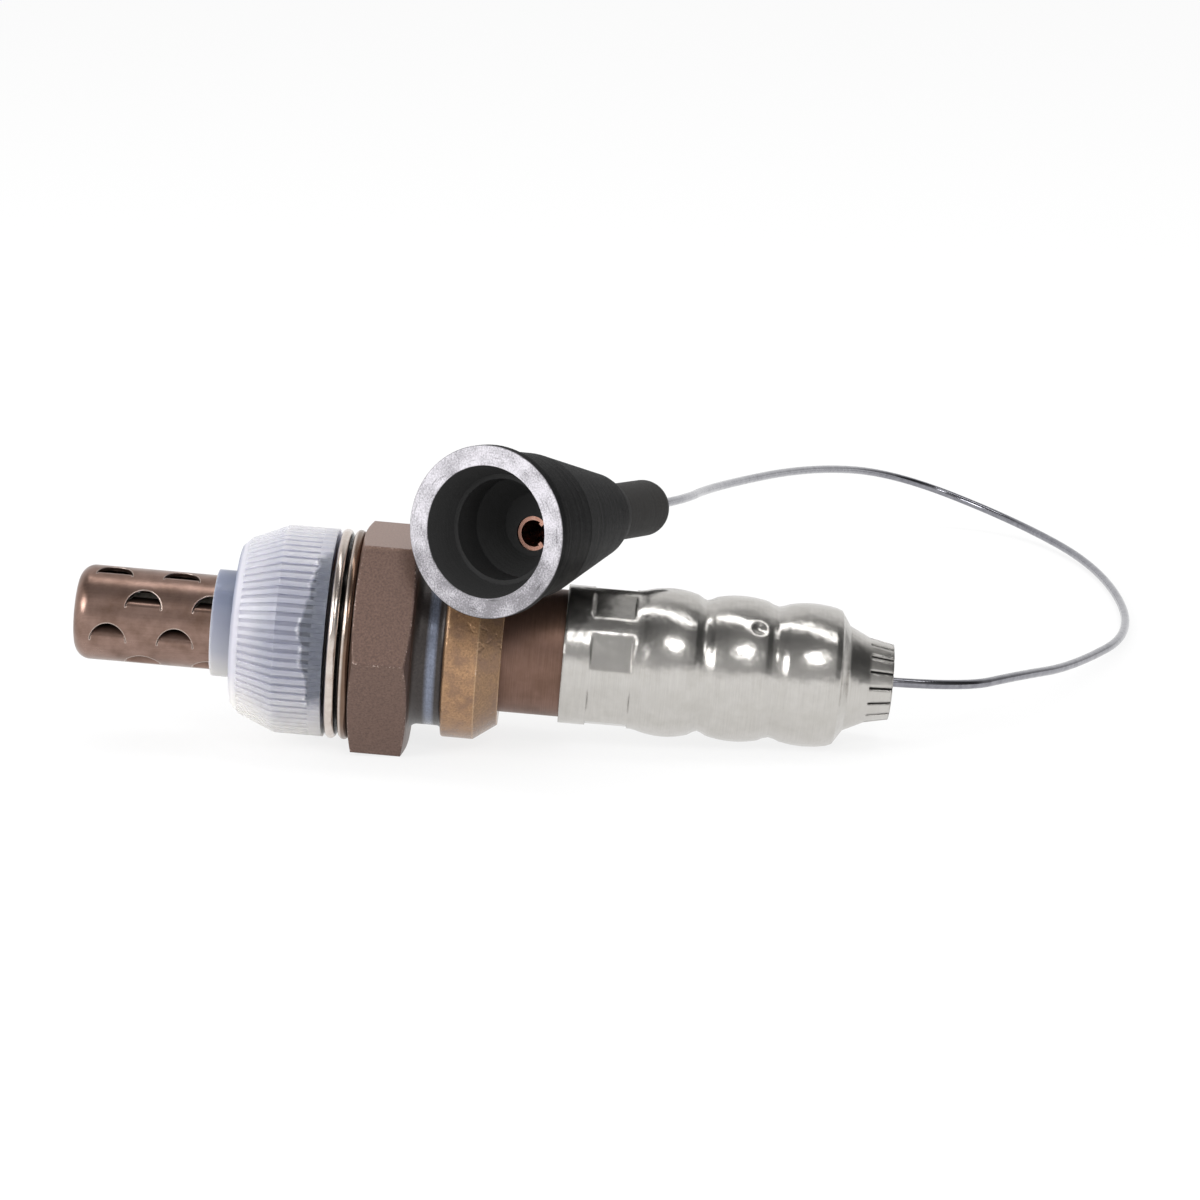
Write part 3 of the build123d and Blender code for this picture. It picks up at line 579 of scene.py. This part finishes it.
# The tube is dull and brown, with turned lines that run round it.
dress("cover_tube", sheet_finish(
    "browned_tube_sheet", "#7f6357", "#705649", cloud_mm=3.0, metallic=0.8, roughness=0.42,
    line_mm=0.1, line_depth=0.004, lines_along=False, streaks=0.14, wave_depth=0.03))
# The sleeve stays bright. Its waviness breaks the highlights, and wide edges soften its crimped flats.
dress("outer_sleeve", sheet_finish(
    "bright_sleeve_sheet", "#cac7c3", "#c3c0bb", cloud_mm=1.8, metallic=1.0, roughness=0.22,
    line_mm=0.12, line_depth=0.0004, lines_along=False, wave_depth=0.12, edge_mm=0.45))
print("sheet metal on the shield, gasket, cover tube and sleeve")

# %% [markdown]
# ## Milky plastic: the thread cap
# The cap is moulded from low-density polyethylene, a soft plastic that is milky and lets light in, so the
# shader scatters light inside the wall. The dark metal behind it shows through: faintly in the thin valleys
# between the ribs, which also get painted shade, and on the side in front, more on the neck, and as a slate
# grey patch with a broken painted highlight along its border where the plastic lies on the metal. Underneath
# it hangs clear of the metal, and painted light from the floor below makes it palest. A see-through shader
# could show that metal itself, but colours that are set where it shows render faster and can be tuned one by
# one. The ribs of the solid end at a plain rim, and a bump and painted shade take them on over it.

# %% Cap ribs
CAP_MILK = "#d3d0d4"
# metal showing through the thin valleys, with painted shade in them
CAP_VALLEY_TINT_AND_SHADE = "#c3c2cb"
# painted light from the floor below, through the plastic where it hangs clear of the metal
CAP_PAINTED_UNDERLIGHT = "#f2eeea"
CAP_RIBS = 72
CAP_RIB_RADIUS = 10.9
CAP_VALLEY_RADIUS = 10.65
RIB_BLEND = 0.06
CAP_RIM = -4.1
RIB_PHASE = 0.25  # in pitches, so that the notches meet the valleys of the solid
NOTCH_SPAN = (0.28, 0.22)
UNDERLIGHT_ANGLES = (1.9, 2.5)


def cap_ribs(tree, angle, radius, station, sideways):
    """The colour of ribs and valleys with painted shade in the valleys, painted light underneath, and notches
    that take the valleys over the rim.
    """
    valley_tint_and_shade = add(tree, "ShaderNodeMapRange", None, {
        "Value": radius, "From Min": CAP_RIB_RADIUS - RIB_BLEND, "From Max": CAP_VALLEY_RADIUS + RIB_BLEND,
    }).outputs[0]
    count = add(tree, "ShaderNodeMath", {"operation": "MULTIPLY_ADD"}, {
        0: angle, 1: CAP_RIBS / math.tau, 2: RIB_PHASE,
    }).outputs[0]
    notch = add(tree, "ShaderNodeMath", {"operation": "PINGPONG"}, {0: count, 1: 1 / 2}).outputs[0]
    notch = add(tree, "ShaderNodeMapRange", None, {
        "Value": notch, "From Min": NOTCH_SPAN[0], "From Max": NOTCH_SPAN[1],
    }).outputs[0]
    on_rim = add(tree, "ShaderNodeMath", {"operation": "GREATER_THAN"}, {0: station, 1: CAP_RIM}).outputs[0]
    notch = add(tree, "ShaderNodeMath", {"operation": "MULTIPLY"}, {0: notch, 1: on_rim}).outputs[0]
    valley_tint_and_shade = add(tree, "ShaderNodeMath", {"operation": "MAXIMUM"}, {0: valley_tint_and_shade, 1: notch}).outputs[0]
    colour = add(tree, "ShaderNodeMix", {"data_type": "RGBA"}, {
        0: valley_tint_and_shade, 6: linear(CAP_MILK), 7: linear(CAP_VALLEY_TINT_AND_SHADE),
    }).outputs[2]
    lit_from_below = add(tree, "ShaderNodeMapRange", None, {
        "Value": sideways, "From Min": UNDERLIGHT_ANGLES[0], "From Max": UNDERLIGHT_ANGLES[1],
    }).outputs[0]
    colour = add(tree, "ShaderNodeMix", {"data_type": "RGBA"}, {
        0: lit_from_below, 6: colour, 7: linear(CAP_PAINTED_UNDERLIGHT),
    }).outputs[2]
    return colour, notch


print("cap with", CAP_RIBS, "ribs")

# %% Metal that shows through the cap
CAP_FACING = "#8c8e9d"
CAP_NECK = "#747a8d"
FACING_ANGLES = (2.1, 0.45)
FACING_SHARE = 0.95
FACING_RAGGED_MM = 3.0
FACING_STATIONS = (-10.5, -6.5)
NECK_STATIONS = (-12.2, -12.6)
NECK_ANGLES = (2.1, 0.95)
NECK_LEAST = 0.38


def cap_shadow(tree, colour, cloud, aside, station, sideways):
    """The dark metal behind the side in front, and behind the neck."""
    facing = add(tree, "ShaderNodeMapRange", None, {
        "Value": aside, "From Min": FACING_ANGLES[0], "From Max": FACING_ANGLES[1], "To Max": FACING_SHARE,
    }).outputs[0]
    inward = add(tree, "ShaderNodeMath", {"operation": "MULTIPLY_ADD"}, {
        0: cloud, 1: FACING_RAGGED_MM, 2: station,
    }).outputs[0]
    inward = add(tree, "ShaderNodeMapRange", None, {
        "Value": inward, "From Min": FACING_STATIONS[0], "From Max": FACING_STATIONS[1],
    }).outputs[0]
    neck = add(tree, "ShaderNodeMapRange", None, {
        "Value": station, "From Min": NECK_STATIONS[0], "From Max": NECK_STATIONS[1],
    }).outputs[0]
    darker = add(tree, "ShaderNodeMapRange", None, {
        "Value": sideways, "From Min": NECK_ANGLES[0], "From Max": NECK_ANGLES[1], "To Min": NECK_LEAST,
    }).outputs[0]
    for where, mask, code in ((facing, inward, CAP_FACING), (neck, darker, CAP_NECK)):
        share = add(tree, "ShaderNodeMath", {"operation": "MULTIPLY"}, {0: where, 1: mask}).outputs[0]
        colour = add(tree, "ShaderNodeMix", {"data_type": "RGBA"}, {
            0: share, 6: colour, 7: linear(code),
        }).outputs[2]
    return colour


print("metal shows through the cap from station", FACING_STATIONS[0])

# %% Where the cap lies on the metal
CAP_CONTACT = "#585c67"
# a painted highlight along the border of the slate patch
CAP_PAINTED_GLEAM = "#e6e6ea"
CONTACT_RAGGED_MM = 2.6
CONTACT_TAPER_MM = -1.6
CONTACT_STATIONS = (-4.55, -4.25)
GLEAM_STATIONS = (-4.85, -4.55)
GLEAM_SHARE = 0.6
GLEAM_MM = 0.9
GLEAM_SPAN = (0.5, 0.62)
CONTACT_ANGLES = (1.15, 1.0)
CONTACT_SHARE = 0.92


def cap_contact(tree, colour, point, cloud, aside, station):
    """The slate grey patch that is widest in front, and the broken painted highlight at its border."""
    reach = add(tree, "ShaderNodeMath", {"operation": "MULTIPLY_ADD"}, {
        0: cloud, 1: CONTACT_RAGGED_MM, 2: station,
    }).outputs[0]
    reach = add(tree, "ShaderNodeMath", {"operation": "MULTIPLY_ADD"}, {
        0: aside, 1: CONTACT_TAPER_MM, 2: reach,
    }).outputs[0]
    touching = add(tree, "ShaderNodeMapRange", None, {
        "Value": reach, "From Min": CONTACT_STATIONS[0], "From Max": CONTACT_STATIONS[1],
    }).outputs[0]
    near = add(tree, "ShaderNodeMapRange", None, {
        "Value": aside, "From Min": CONTACT_ANGLES[0], "From Max": CONTACT_ANGLES[1],
        "To Max": CONTACT_SHARE,
    }).outputs[0]
    beside = add(tree, "ShaderNodeMapRange", None, {
        "Value": reach, "From Min": GLEAM_STATIONS[0], "From Max": GLEAM_STATIONS[1], "To Max": GLEAM_SHARE,
    }).outputs[0]
    broken = add(tree, "ShaderNodeTexNoise", None, {
        "Vector": point, "Scale": 1 / GLEAM_MM, "Detail": 3.0,
    }).outputs[0]
    broken = add(tree, "ShaderNodeMapRange", None, {
        "Value": broken, "From Min": GLEAM_SPAN[0], "From Max": GLEAM_SPAN[1],
    }).outputs[0]
    border = add(tree, "ShaderNodeMath", {"operation": "MULTIPLY"}, {0: beside, 1: broken}).outputs[0]
    for where, code in ((border, CAP_PAINTED_GLEAM), (touching, CAP_CONTACT)):
        share = add(tree, "ShaderNodeMath", {"operation": "MULTIPLY"}, {0: where, 1: near}).outputs[0]
        colour = add(tree, "ShaderNodeMix", {"data_type": "RGBA"}, {
            0: share, 6: colour, 7: linear(code),
        }).outputs[2]
    return colour


print("the cap touches metal near station", CONTACT_STATIONS[1])

# %% Cap finish
FRONT_ANGLE = math.radians(77.0)
CAP_CLOUD_MM = 2.2
RAGGED_ANGLE = 0.5
NOTCH_DEPTH_MM = 0.12


def cap_finish():
    """Soft, pale plastic: scattered light fills its shadows and blurs the edges of its ribs."""
    material, tree, shader = new_finish("milky_polyethylene", {
        "Roughness": 0.34, "IOR": 1.51, "Subsurface Weight": 1.0,
        "Subsurface Radius": (1.0, 1.0, 1.1), "Subsurface Scale": 3.0 * MM,
    })
    point = own_millimetres(tree, sensor_place)
    angle, radius, station = round_the_axis(tree, point)
    sideways = add(tree, "ShaderNodeMath", {"operation": "ABSOLUTE"}, {0: angle}).outputs[0]
    cloud = add(tree, "ShaderNodeTexNoise", None, {
        "Vector": point, "Scale": 1 / CAP_CLOUD_MM, "Detail": 5.0,
    }).outputs[0]
    aside = add(tree, "ShaderNodeMath", {"operation": "SUBTRACT"}, {0: angle, 1: FRONT_ANGLE}).outputs[0]
    aside = add(tree, "ShaderNodeMath", {"operation": "ABSOLUTE"}, {0: aside}).outputs[0]
    aside = add(tree, "ShaderNodeMath", {"operation": "MULTIPLY_ADD"}, {
        0: cloud, 1: RAGGED_ANGLE, 2: aside,
    }).outputs[0]
    colour, notch = cap_ribs(tree, angle, radius, station, sideways)
    colour = cap_shadow(tree, colour, cloud, aside, station, sideways)
    colour = cap_contact(tree, colour, point, cloud, aside, station)
    bump = add(tree, "ShaderNodeBump", {"invert": True}, {
        "Height": notch, "Distance": NOTCH_DEPTH_MM * MM, "Strength": 1.0,
    })
    connect(tree, shader, {"Base Color": colour, "Normal": bump.outputs[0]})
    return material


dress("thread_cap", cap_finish())
print("cap dressed in milky polyethylene")

# %% [markdown]
# ## Moulded rubber: the boot and the grommet
# Both are moulded from black rubber, which is dull and has a fine pebbled skin with faint rings from the
# turned mould. The boot has a grey painted sheen in clouds underneath and on its tail, and painted light
# makes it grey inside its mouth. Its rim was cut after moulding and is dusted with release powder, so it is
# pale, blotchy and scratched. All of that is taken to be flatter than a tenth of a millimetre, so it is
# colour and bump, not shape.

# %% Rubber colours
RUBBER = "#09090a"
# grey of the painted sheen underneath and on the tail, and of the knife scratches in the rim's dust
RUBBER_SHEEN_AND_WEAR = "#333231"
# painted light inside the mouth, which is lighter than its shade would leave it
RUBBER_INSIDE_PAINTED_LIGHT = "#343434"
SHEEN_ANGLES = (1.75, 0.8)
TAIL_STATIONS = (23.0, 26.5)
MOUTH_RADIUS = 6.85
MOUTH_END = 11.0


def rubber_skin(tree, cloud, underside, radius, station):
    """Black rubber with a painted sheen in clouds underneath and all over the tail, and painted light inside
    the mouth.
    """
    painted_sheen = add(tree, "ShaderNodeMapRange", None, {
        "Value": cloud, "From Min": NOISE_LOW, "From Max": NOISE_HIGH,
    }).outputs[0]
    painted_sheen = add(tree, "ShaderNodeMath", {"operation": "MULTIPLY"}, {0: painted_sheen, 1: underside}).outputs[0]
    tail = add(tree, "ShaderNodeMapRange", None, {
        "Value": station, "From Min": TAIL_STATIONS[0], "From Max": TAIL_STATIONS[1],
    }).outputs[0]
    painted_sheen = add(tree, "ShaderNodeMath", {"operation": "MAXIMUM"}, {0: painted_sheen, 1: tail}).outputs[0]
    colour = add(tree, "ShaderNodeMix", {"data_type": "RGBA"}, {
        0: painted_sheen, 6: linear(RUBBER), 7: linear(RUBBER_SHEEN_AND_WEAR),
    }).outputs[2]
    inner = add(tree, "ShaderNodeMath", {"operation": "LESS_THAN"}, {0: radius, 1: MOUTH_RADIUS}).outputs[0]
    shallow = add(tree, "ShaderNodeMath", {"operation": "LESS_THAN"}, {0: station, 1: MOUTH_END}).outputs[0]
    inside = add(tree, "ShaderNodeMath", {"operation": "MULTIPLY"}, {0: inner, 1: shallow}).outputs[0]
    return add(tree, "ShaderNodeMix", {"data_type": "RGBA"}, {
        0: inside, 6: colour, 7: linear(RUBBER_INSIDE_PAINTED_LIGHT),
    }).outputs[2]


print("grey inside the boot up to station", MOUTH_END)

# %% Cut rim
RIM_DUST = "#cfccd2"
RIM_DUST_DARK = "#7e7c80"
PEBBLE_SHARE = 1.4
UNDERSIDE_SHARE = 0.26
MOTTLE_SPAN = (1.05, 1.55)
CUT_MM = 0.22
CUT_STRETCH = 9
CUT_SPAN = (0.60, 0.70)
CUT_SHARE = 0.55


def rim_dust(tree, pebble, cloud, underside, radius, arc):
    """Pale powder in mottles, darker underneath, with scratches from the knife round the rim."""
    mottle = add(tree, "ShaderNodeMath", {"operation": "MULTIPLY_ADD"}, {
        0: pebble, 1: PEBBLE_SHARE, 2: cloud,
    }).outputs[0]
    mottle = add(tree, "ShaderNodeMath", {"operation": "MULTIPLY_ADD"}, {
        0: underside, 1: UNDERSIDE_SHARE, 2: mottle,
    }).outputs[0]
    mottle = add(tree, "ShaderNodeMapRange", None, {
        "Value": mottle, "From Min": MOTTLE_SPAN[0], "From Max": MOTTLE_SPAN[1],
    }).outputs[0]
    dust = add(tree, "ShaderNodeMix", {"data_type": "RGBA"}, {
        0: mottle, 6: linear(RIM_DUST), 7: linear(RIM_DUST_DARK),
    }).outputs[2]
    cut = lined_noise(tree, radius, arc, CUT_MM, CUT_STRETCH, 3.0)
    cut = add(tree, "ShaderNodeMapRange", None, {
        "Value": cut, "From Min": CUT_SPAN[0], "From Max": CUT_SPAN[1], "To Max": CUT_SHARE,
    }).outputs[0]
    return add(tree, "ShaderNodeMix", {"data_type": "RGBA"}, {
        0: cut, 6: dust, 7: linear(RUBBER_SHEEN_AND_WEAR),
    }).outputs[2]


print("scratches", CUT_MM, "mm apart on the rim")

# %% Rubber finish
PEBBLE_MM = 0.18
PEBBLE_DEPTH_MM = 0.05
PEBBLE_STRENGTH = 0.7
RUBBER_CLOUD_MM = 2.4
RIM_STATIONS = (0.14, 0.03)
RUBBER_ROUGHNESS = (0.48, 0.66)
RING_MM = 0.7
RING_STRETCH = 30
RING_DEPTH_MM = 0.06


def rubber_finish():
    """Black rubber that mirrors very little, so only its skin and its dust catch the light."""
    material, tree, shader = new_finish("moulded_black_rubber", {"IOR": 1.52, "Specular IOR Level": 0.06})
    point = own_millimetres(tree, boot_place)
    angle, radius, station = round_the_axis(tree, point)
    arc = add(tree, "ShaderNodeMath", {"operation": "MULTIPLY"}, {0: angle, 1: radius}).outputs[0]
    pebble = add(tree, "ShaderNodeTexNoise", None, {
        "Vector": point, "Scale": 1 / PEBBLE_MM, "Detail": 4.0, "Roughness": 0.7,
    }).outputs[0]
    cloud = add(tree, "ShaderNodeTexNoise", None, {
        "Vector": point, "Scale": 1 / RUBBER_CLOUD_MM, "Detail": 5.0,
    }).outputs[0]
    sideways = add(tree, "ShaderNodeMath", {"operation": "ABSOLUTE"}, {0: angle}).outputs[0]
    underside = add(tree, "ShaderNodeMapRange", None, {
        "Value": sideways, "From Min": SHEEN_ANGLES[0], "From Max": SHEEN_ANGLES[1],
    }).outputs[0]
    rim = add(tree, "ShaderNodeMapRange", None, {
        "Value": station, "From Min": RIM_STATIONS[0], "From Max": RIM_STATIONS[1],
    }).outputs[0]
    colour = add(tree, "ShaderNodeMix", {"data_type": "RGBA"}, {
        0: rim,
        6: rubber_skin(tree, cloud, underside, radius, station),
        7: rim_dust(tree, pebble, cloud, underside, radius, arc),
    }).outputs[2]
    rough = add(tree, "ShaderNodeMapRange", None, {
        "Value": pebble, "From Min": NOISE_LOW, "From Max": NOISE_HIGH,
        "To Min": RUBBER_ROUGHNESS[0], "To Max": RUBBER_ROUGHNESS[1],
    }).outputs[0]
    ring = lined_noise(tree, station, arc, RING_MM, RING_STRETCH, 2.0)
    ringed = add(tree, "ShaderNodeBump", None, {
        "Height": ring, "Distance": RING_DEPTH_MM * MM, "Strength": 1.0,
    })
    bump = add(tree, "ShaderNodeBump", None, {
        "Height": pebble, "Distance": PEBBLE_DEPTH_MM * MM, "Strength": PEBBLE_STRENGTH,
        "Normal": ringed.outputs[0],
    })
    connect(tree, shader, {"Base Color": colour, "Roughness": rough, "Normal": bump.outputs[0]})
    return material


rubber = rubber_finish()
dress("rubber_boot", rubber)
dress("grommet", rubber)
print("rubber on the boot and the grommet")

# %% [markdown]
# ## Small and hidden pieces
# The terminal is rolled from copper alloy strip, and the lead has a clear PTFE jacket over tinned strands.
# The pieces inside the shell are ceramics, pressed talc, plain steel and bare copper. Little of them shows,
# so one recipe serves all: a colour that varies in grains, and a roughness and bump from the same grains.

# %% Recipe for small pieces
GRAIN_SPAN = (0.35, 0.7)
GRAIN_ROUGHNESS = 0.06
GRAIN_STRENGTH = 0.6


def grained_finish(name, code, grain_code, constants, grain_mm, roughness, depth):
    """A plain material with grains of a second colour. Lengths are in millimetres."""
    material, tree, shader = new_finish(name, constants)
    point = own_millimetres(tree, sensor_place)
    grain = add(tree, "ShaderNodeTexNoise", None, {
        "Vector": point, "Scale": 1 / grain_mm, "Detail": 4.0, "Roughness": 0.6,
    }).outputs[0]
    grainy = add(tree, "ShaderNodeMapRange", None, {
        "Value": grain, "From Min": GRAIN_SPAN[0], "From Max": GRAIN_SPAN[1],
    }).outputs[0]
    colour = add(tree, "ShaderNodeMix", {"data_type": "RGBA"}, {
        0: grainy, 6: linear(code), 7: linear(grain_code),
    }).outputs[2]
    rough = add(tree, "ShaderNodeMapRange", None, {
        "Value": grain, "From Min": NOISE_LOW, "From Max": NOISE_HIGH,
        "To Min": roughness - GRAIN_ROUGHNESS, "To Max": roughness + GRAIN_ROUGHNESS,
    }).outputs[0]
    bump = add(tree, "ShaderNodeBump", None, {
        "Height": grain, "Distance": depth * MM, "Strength": GRAIN_STRENGTH,
    })
    connect(tree, shader, {"Base Color": colour, "Roughness": rough, "Normal": bump.outputs[0]})
    return material


print("one recipe for the small pieces")

# %% Finishes of small pieces
METAL = {"Metallic": 1.0}
# Warm and bright, so that the terminal glows at the bottom of the dark boot.
copper_strip = grained_finish(
    "rolled_copper_strip", "#d6a796", "#c28f7c", METAL, grain_mm=0.4, roughness=0.3, depth=0.004)
# The strands mirror the room through the clear jacket, so the lead is a line with light and dark runs.
jacket = grained_finish(
    "clear_ptfe_over_tinned_strands", "#95959b", "#7e7e85", METAL, grain_mm=0.8, roughness=0.16, depth=0.003)
# Ceramics are pale and matt, with a sintered grain. Talc is greyer and duller than they are.
zirconia = grained_finish(
    "sintered_zirconia", "#e6e1d6", "#d8d0c0", {"IOR": 2.1}, grain_mm=0.3, roughness=0.55, depth=0.01)
alumina = grained_finish(
    "sintered_alumina", "#efece4", "#e2ddd2", {"IOR": 1.76}, grain_mm=0.3, roughness=0.5, depth=0.01)
talc = grained_finish(
    "pressed_talc", "#bfbcb6", "#aaa69f", {"IOR": 1.57}, grain_mm=0.25, roughness=0.8, depth=0.02)
# Steel that the heat doesn't reach stays grey. The lead's stripped end is red copper, as in the record.
machined = grained_finish(
    "plain_machined_steel", "#a9a9ab", "#98989a", METAL, grain_mm=0.5, roughness=0.35, depth=0.004)
strands = grained_finish(
    "bare_copper_strands", "#b87350", "#a0603f", METAL, grain_mm=0.2, roughness=0.35, depth=0.01)
lead_curve.materials.append(jacket)
for finish, pieces in {
    copper_strip: ["socket_terminal"],
    zirconia: ["zirconia_thimble"],
    alumina: ["ceramic_bush", "support_insulator"],
    talc: ["talc_seal"],
    machined: ["seat_washer", "packing_ring", "press_ring", "contact_bushing", "disc_spring"],
    strands: ["wire_core"],
}.items():
    for name in pieces:
        dress(name, finish)
print("small and hidden pieces dressed")

# %% [markdown]
# ## Floor, light and background
# A pale floor fills the picture. Part of its brightness is its own for camera and mirror rays, so it reads
# as white and still takes a shadow. Most of the light on it and on the sensor is even, and comes from a white
# world.

# %% Floor
WHITE = (1.0, 1.0, 1.0, 1.0)
FLOOR_HALF = 4.0
FLOOR_WHITE = "#f4f4f4"
FLOOR_GLOW = 0.8

floor_mesh = bpy.data.meshes.new("floor")
corners = [(FLOOR_HALF * x, FLOOR_HALF * y, 0.0) for x, y in ((-1, -1), (1, -1), (1, 1), (-1, 1))]
floor_mesh.from_pydata(corners, [], [(0, 1, 2, 3)])
floor = bpy.data.objects.new("floor", floor_mesh)
bpy.context.scene.collection.objects.link(floor)
floor_material = bpy.data.materials.new("pale_floor")
floor_material.use_nodes = True
floor_tree = floor_material.node_tree
floor_tree.nodes.clear()
floor_mesh.materials.append(floor_material)


def seen_or_mirrored(tree):
    """One for rays from the camera, a mirror or glass, and nought for the light that falls on things."""
    path = add(tree, "ShaderNodeLightPath")
    bounced = add(tree, "ShaderNodeMath", {"operation": "MAXIMUM"}, {
        0: path.outputs["Is Glossy Ray"], 1: path.outputs["Is Transmission Ray"],
    }).outputs[0]
    return add(tree, "ShaderNodeMath", {"operation": "MAXIMUM"}, {
        0: path.outputs["Is Camera Ray"], 1: bounced,
    }).outputs[0]


glow_share = add(floor_tree, "ShaderNodeMath", {"operation": "MULTIPLY"}, {
    0: seen_or_mirrored(floor_tree), 1: FLOOR_GLOW,
}).outputs[0]
matt = add(floor_tree, "ShaderNodeBsdfDiffuse", None, {"Color": linear(FLOOR_WHITE)})
glow = add(floor_tree, "ShaderNodeEmission", None, {"Color": WHITE, "Strength": 1.0})
floor_mix = add(floor_tree, "ShaderNodeMixShader", None, {
    0: glow_share, 1: matt.outputs[0], 2: glow.outputs[0],
})
add(floor_tree, "ShaderNodeOutputMaterial", None, {"Surface": floor_mix.outputs[0]})
print("floor", 2 * FLOOR_HALF, "m wide")

# %% [markdown]
# ## A room for the metal to mirror
# Bright metal shows only what stands round it, and in an all-white room it has no shape. So for mirror rays
# the studio is white behind, dark overhead and grey in front, down to the white floor. A white wall stands
# on the left and a dim one on the right. They give the sleeve its dark bands and its bright lower half. A
# picture of a studio could stand round it instead, but a colour ramp over the angle is easier to tune.

# %% World
LIGHT_LEVEL = 0.86
STUDIO_ROUND = [
    # lean from the zenith towards the front in degrees, and how bright the studio is there in a mirror
    (-90, 1.00),
    (-44, 0.85),
    (-16, 0.14),
    (18, 0.12),
    (45, 0.24),
    (68, 0.42),
    (81, 0.50),
    (87, 1.00),
]
# Where each wall starts and where it is whole, as a direction's share along X, and how bright it is.
LEFT_WALL = (-0.62, -0.92, 0.95)
RIGHT_WALL = (0.40, 0.80, 0.36)

world = bpy.data.worlds.new("studio")
bpy.context.scene.world = world
world.use_nodes = True
sky = world.node_tree
sky.nodes.clear()
towards = add(sky, "ShaderNodeSeparateXYZ", None, {
    "Vector": add(sky, "ShaderNodeTexCoord").outputs["Generated"],
})
nearer = add(sky, "ShaderNodeMath", {"operation": "MULTIPLY"}, {0: towards.outputs["Y"], 1: -1.0}).outputs[0]
lean = add(sky, "ShaderNodeMath", {"operation": "ARCTAN2"}, {0: nearer, 1: towards.outputs["Z"]}).outputs[0]
share_round = add(sky, "ShaderNodeMapRange", None, {
    "Value": lean, "From Min": -math.pi, "From Max": math.pi,
}).outputs[0]
studio = add(sky, "ShaderNodeValToRGB", None, {"Fac": share_round})
stops = studio.color_ramp.elements
for lean_degrees, bright in STUDIO_ROUND:
    stop = stops.new((lean_degrees + 180) / 360)
    stop.color = (bright, bright, bright, 1.0)
stops.remove(stops[0])  # the black stop that a new ramp starts with
left_wall = add(sky, "ShaderNodeMapRange", {"interpolation_type": "SMOOTHSTEP"}, {
    "Value": towards.outputs["X"],
    "From Min": LEFT_WALL[0], "From Max": LEFT_WALL[1], "To Max": LEFT_WALL[2],
}).outputs[0]
right_wall = add(sky, "ShaderNodeMapRange", {"interpolation_type": "SMOOTHSTEP"}, {
    "Value": towards.outputs["X"],
    "From Min": RIGHT_WALL[0], "From Max": RIGHT_WALL[1], "To Min": 1.0, "To Max": RIGHT_WALL[2],
}).outputs[0]
room = add(sky, "ShaderNodeMath", {"operation": "MAXIMUM"}, {0: studio.outputs[0], 1: left_wall}).outputs[0]
room = add(sky, "ShaderNodeMath", {"operation": "MULTIPLY"}, {0: room, 1: right_wall}).outputs[0]
glossy = add(sky, "ShaderNodeLightPath").outputs["Is Glossy Ray"]
shown = add(sky, "ShaderNodeMix", {"data_type": "RGBA"}, {0: glossy, 6: WHITE, 7: room}).outputs[2]
backdrop = add(sky, "ShaderNodeBackground", None, {"Color": shown, "Strength": 1.0})
light = add(sky, "ShaderNodeBackground", None, {"Color": WHITE, "Strength": LIGHT_LEVEL})
chosen = add(sky, "ShaderNodeMixShader", None, {
    0: seen_or_mirrored(sky), 1: light.outputs[0], 2: backdrop.outputs[0],
})
add(sky, "ShaderNodeOutputWorld", None, {"Surface": chosen.outputs[0]})
print("world light level", LIGHT_LEVEL)

# %% [markdown]
# ## Three lamps for highlights
# A long strip hangs overhead and draws the highlight along the tops of the bulges. A small box in front
# gives each bulge its bright spot, and a larger one on the left lights the shield, the cap and the hex.

# %% Lamps
LAMPS = [
    # name, place in metres, size in metres, power in watts
    ("overhead_strip", (0.05, 0.08, 0.93), (1.1, 0.15), 2.2),
    ("front_box", (0.16, -0.55, 0.48), (0.20, 0.18), 0.9),
    ("left_box", (-0.55, -0.45, 0.36), (0.40, 0.30), 2.8),
]
for name, place, size, power in LAMPS:
    lamp_data = bpy.data.lights.new(name, "AREA")
    lamp_data.shape = "RECTANGLE"
    lamp_data.size, lamp_data.size_y = size
    lamp_data.energy = power
    lamp = bpy.data.objects.new(name, lamp_data)
    lamp.location = place
    lamp.rotation_mode = "QUATERNION"
    lamp.rotation_quaternion = (CAMERA_TARGET - Vector(place)).to_track_quat("-Z", "Y")
    bpy.context.scene.collection.objects.link(lamp)
    print("lamp", name, power, "W")
bpy.context.scene.view_settings.view_transform = "Standard"
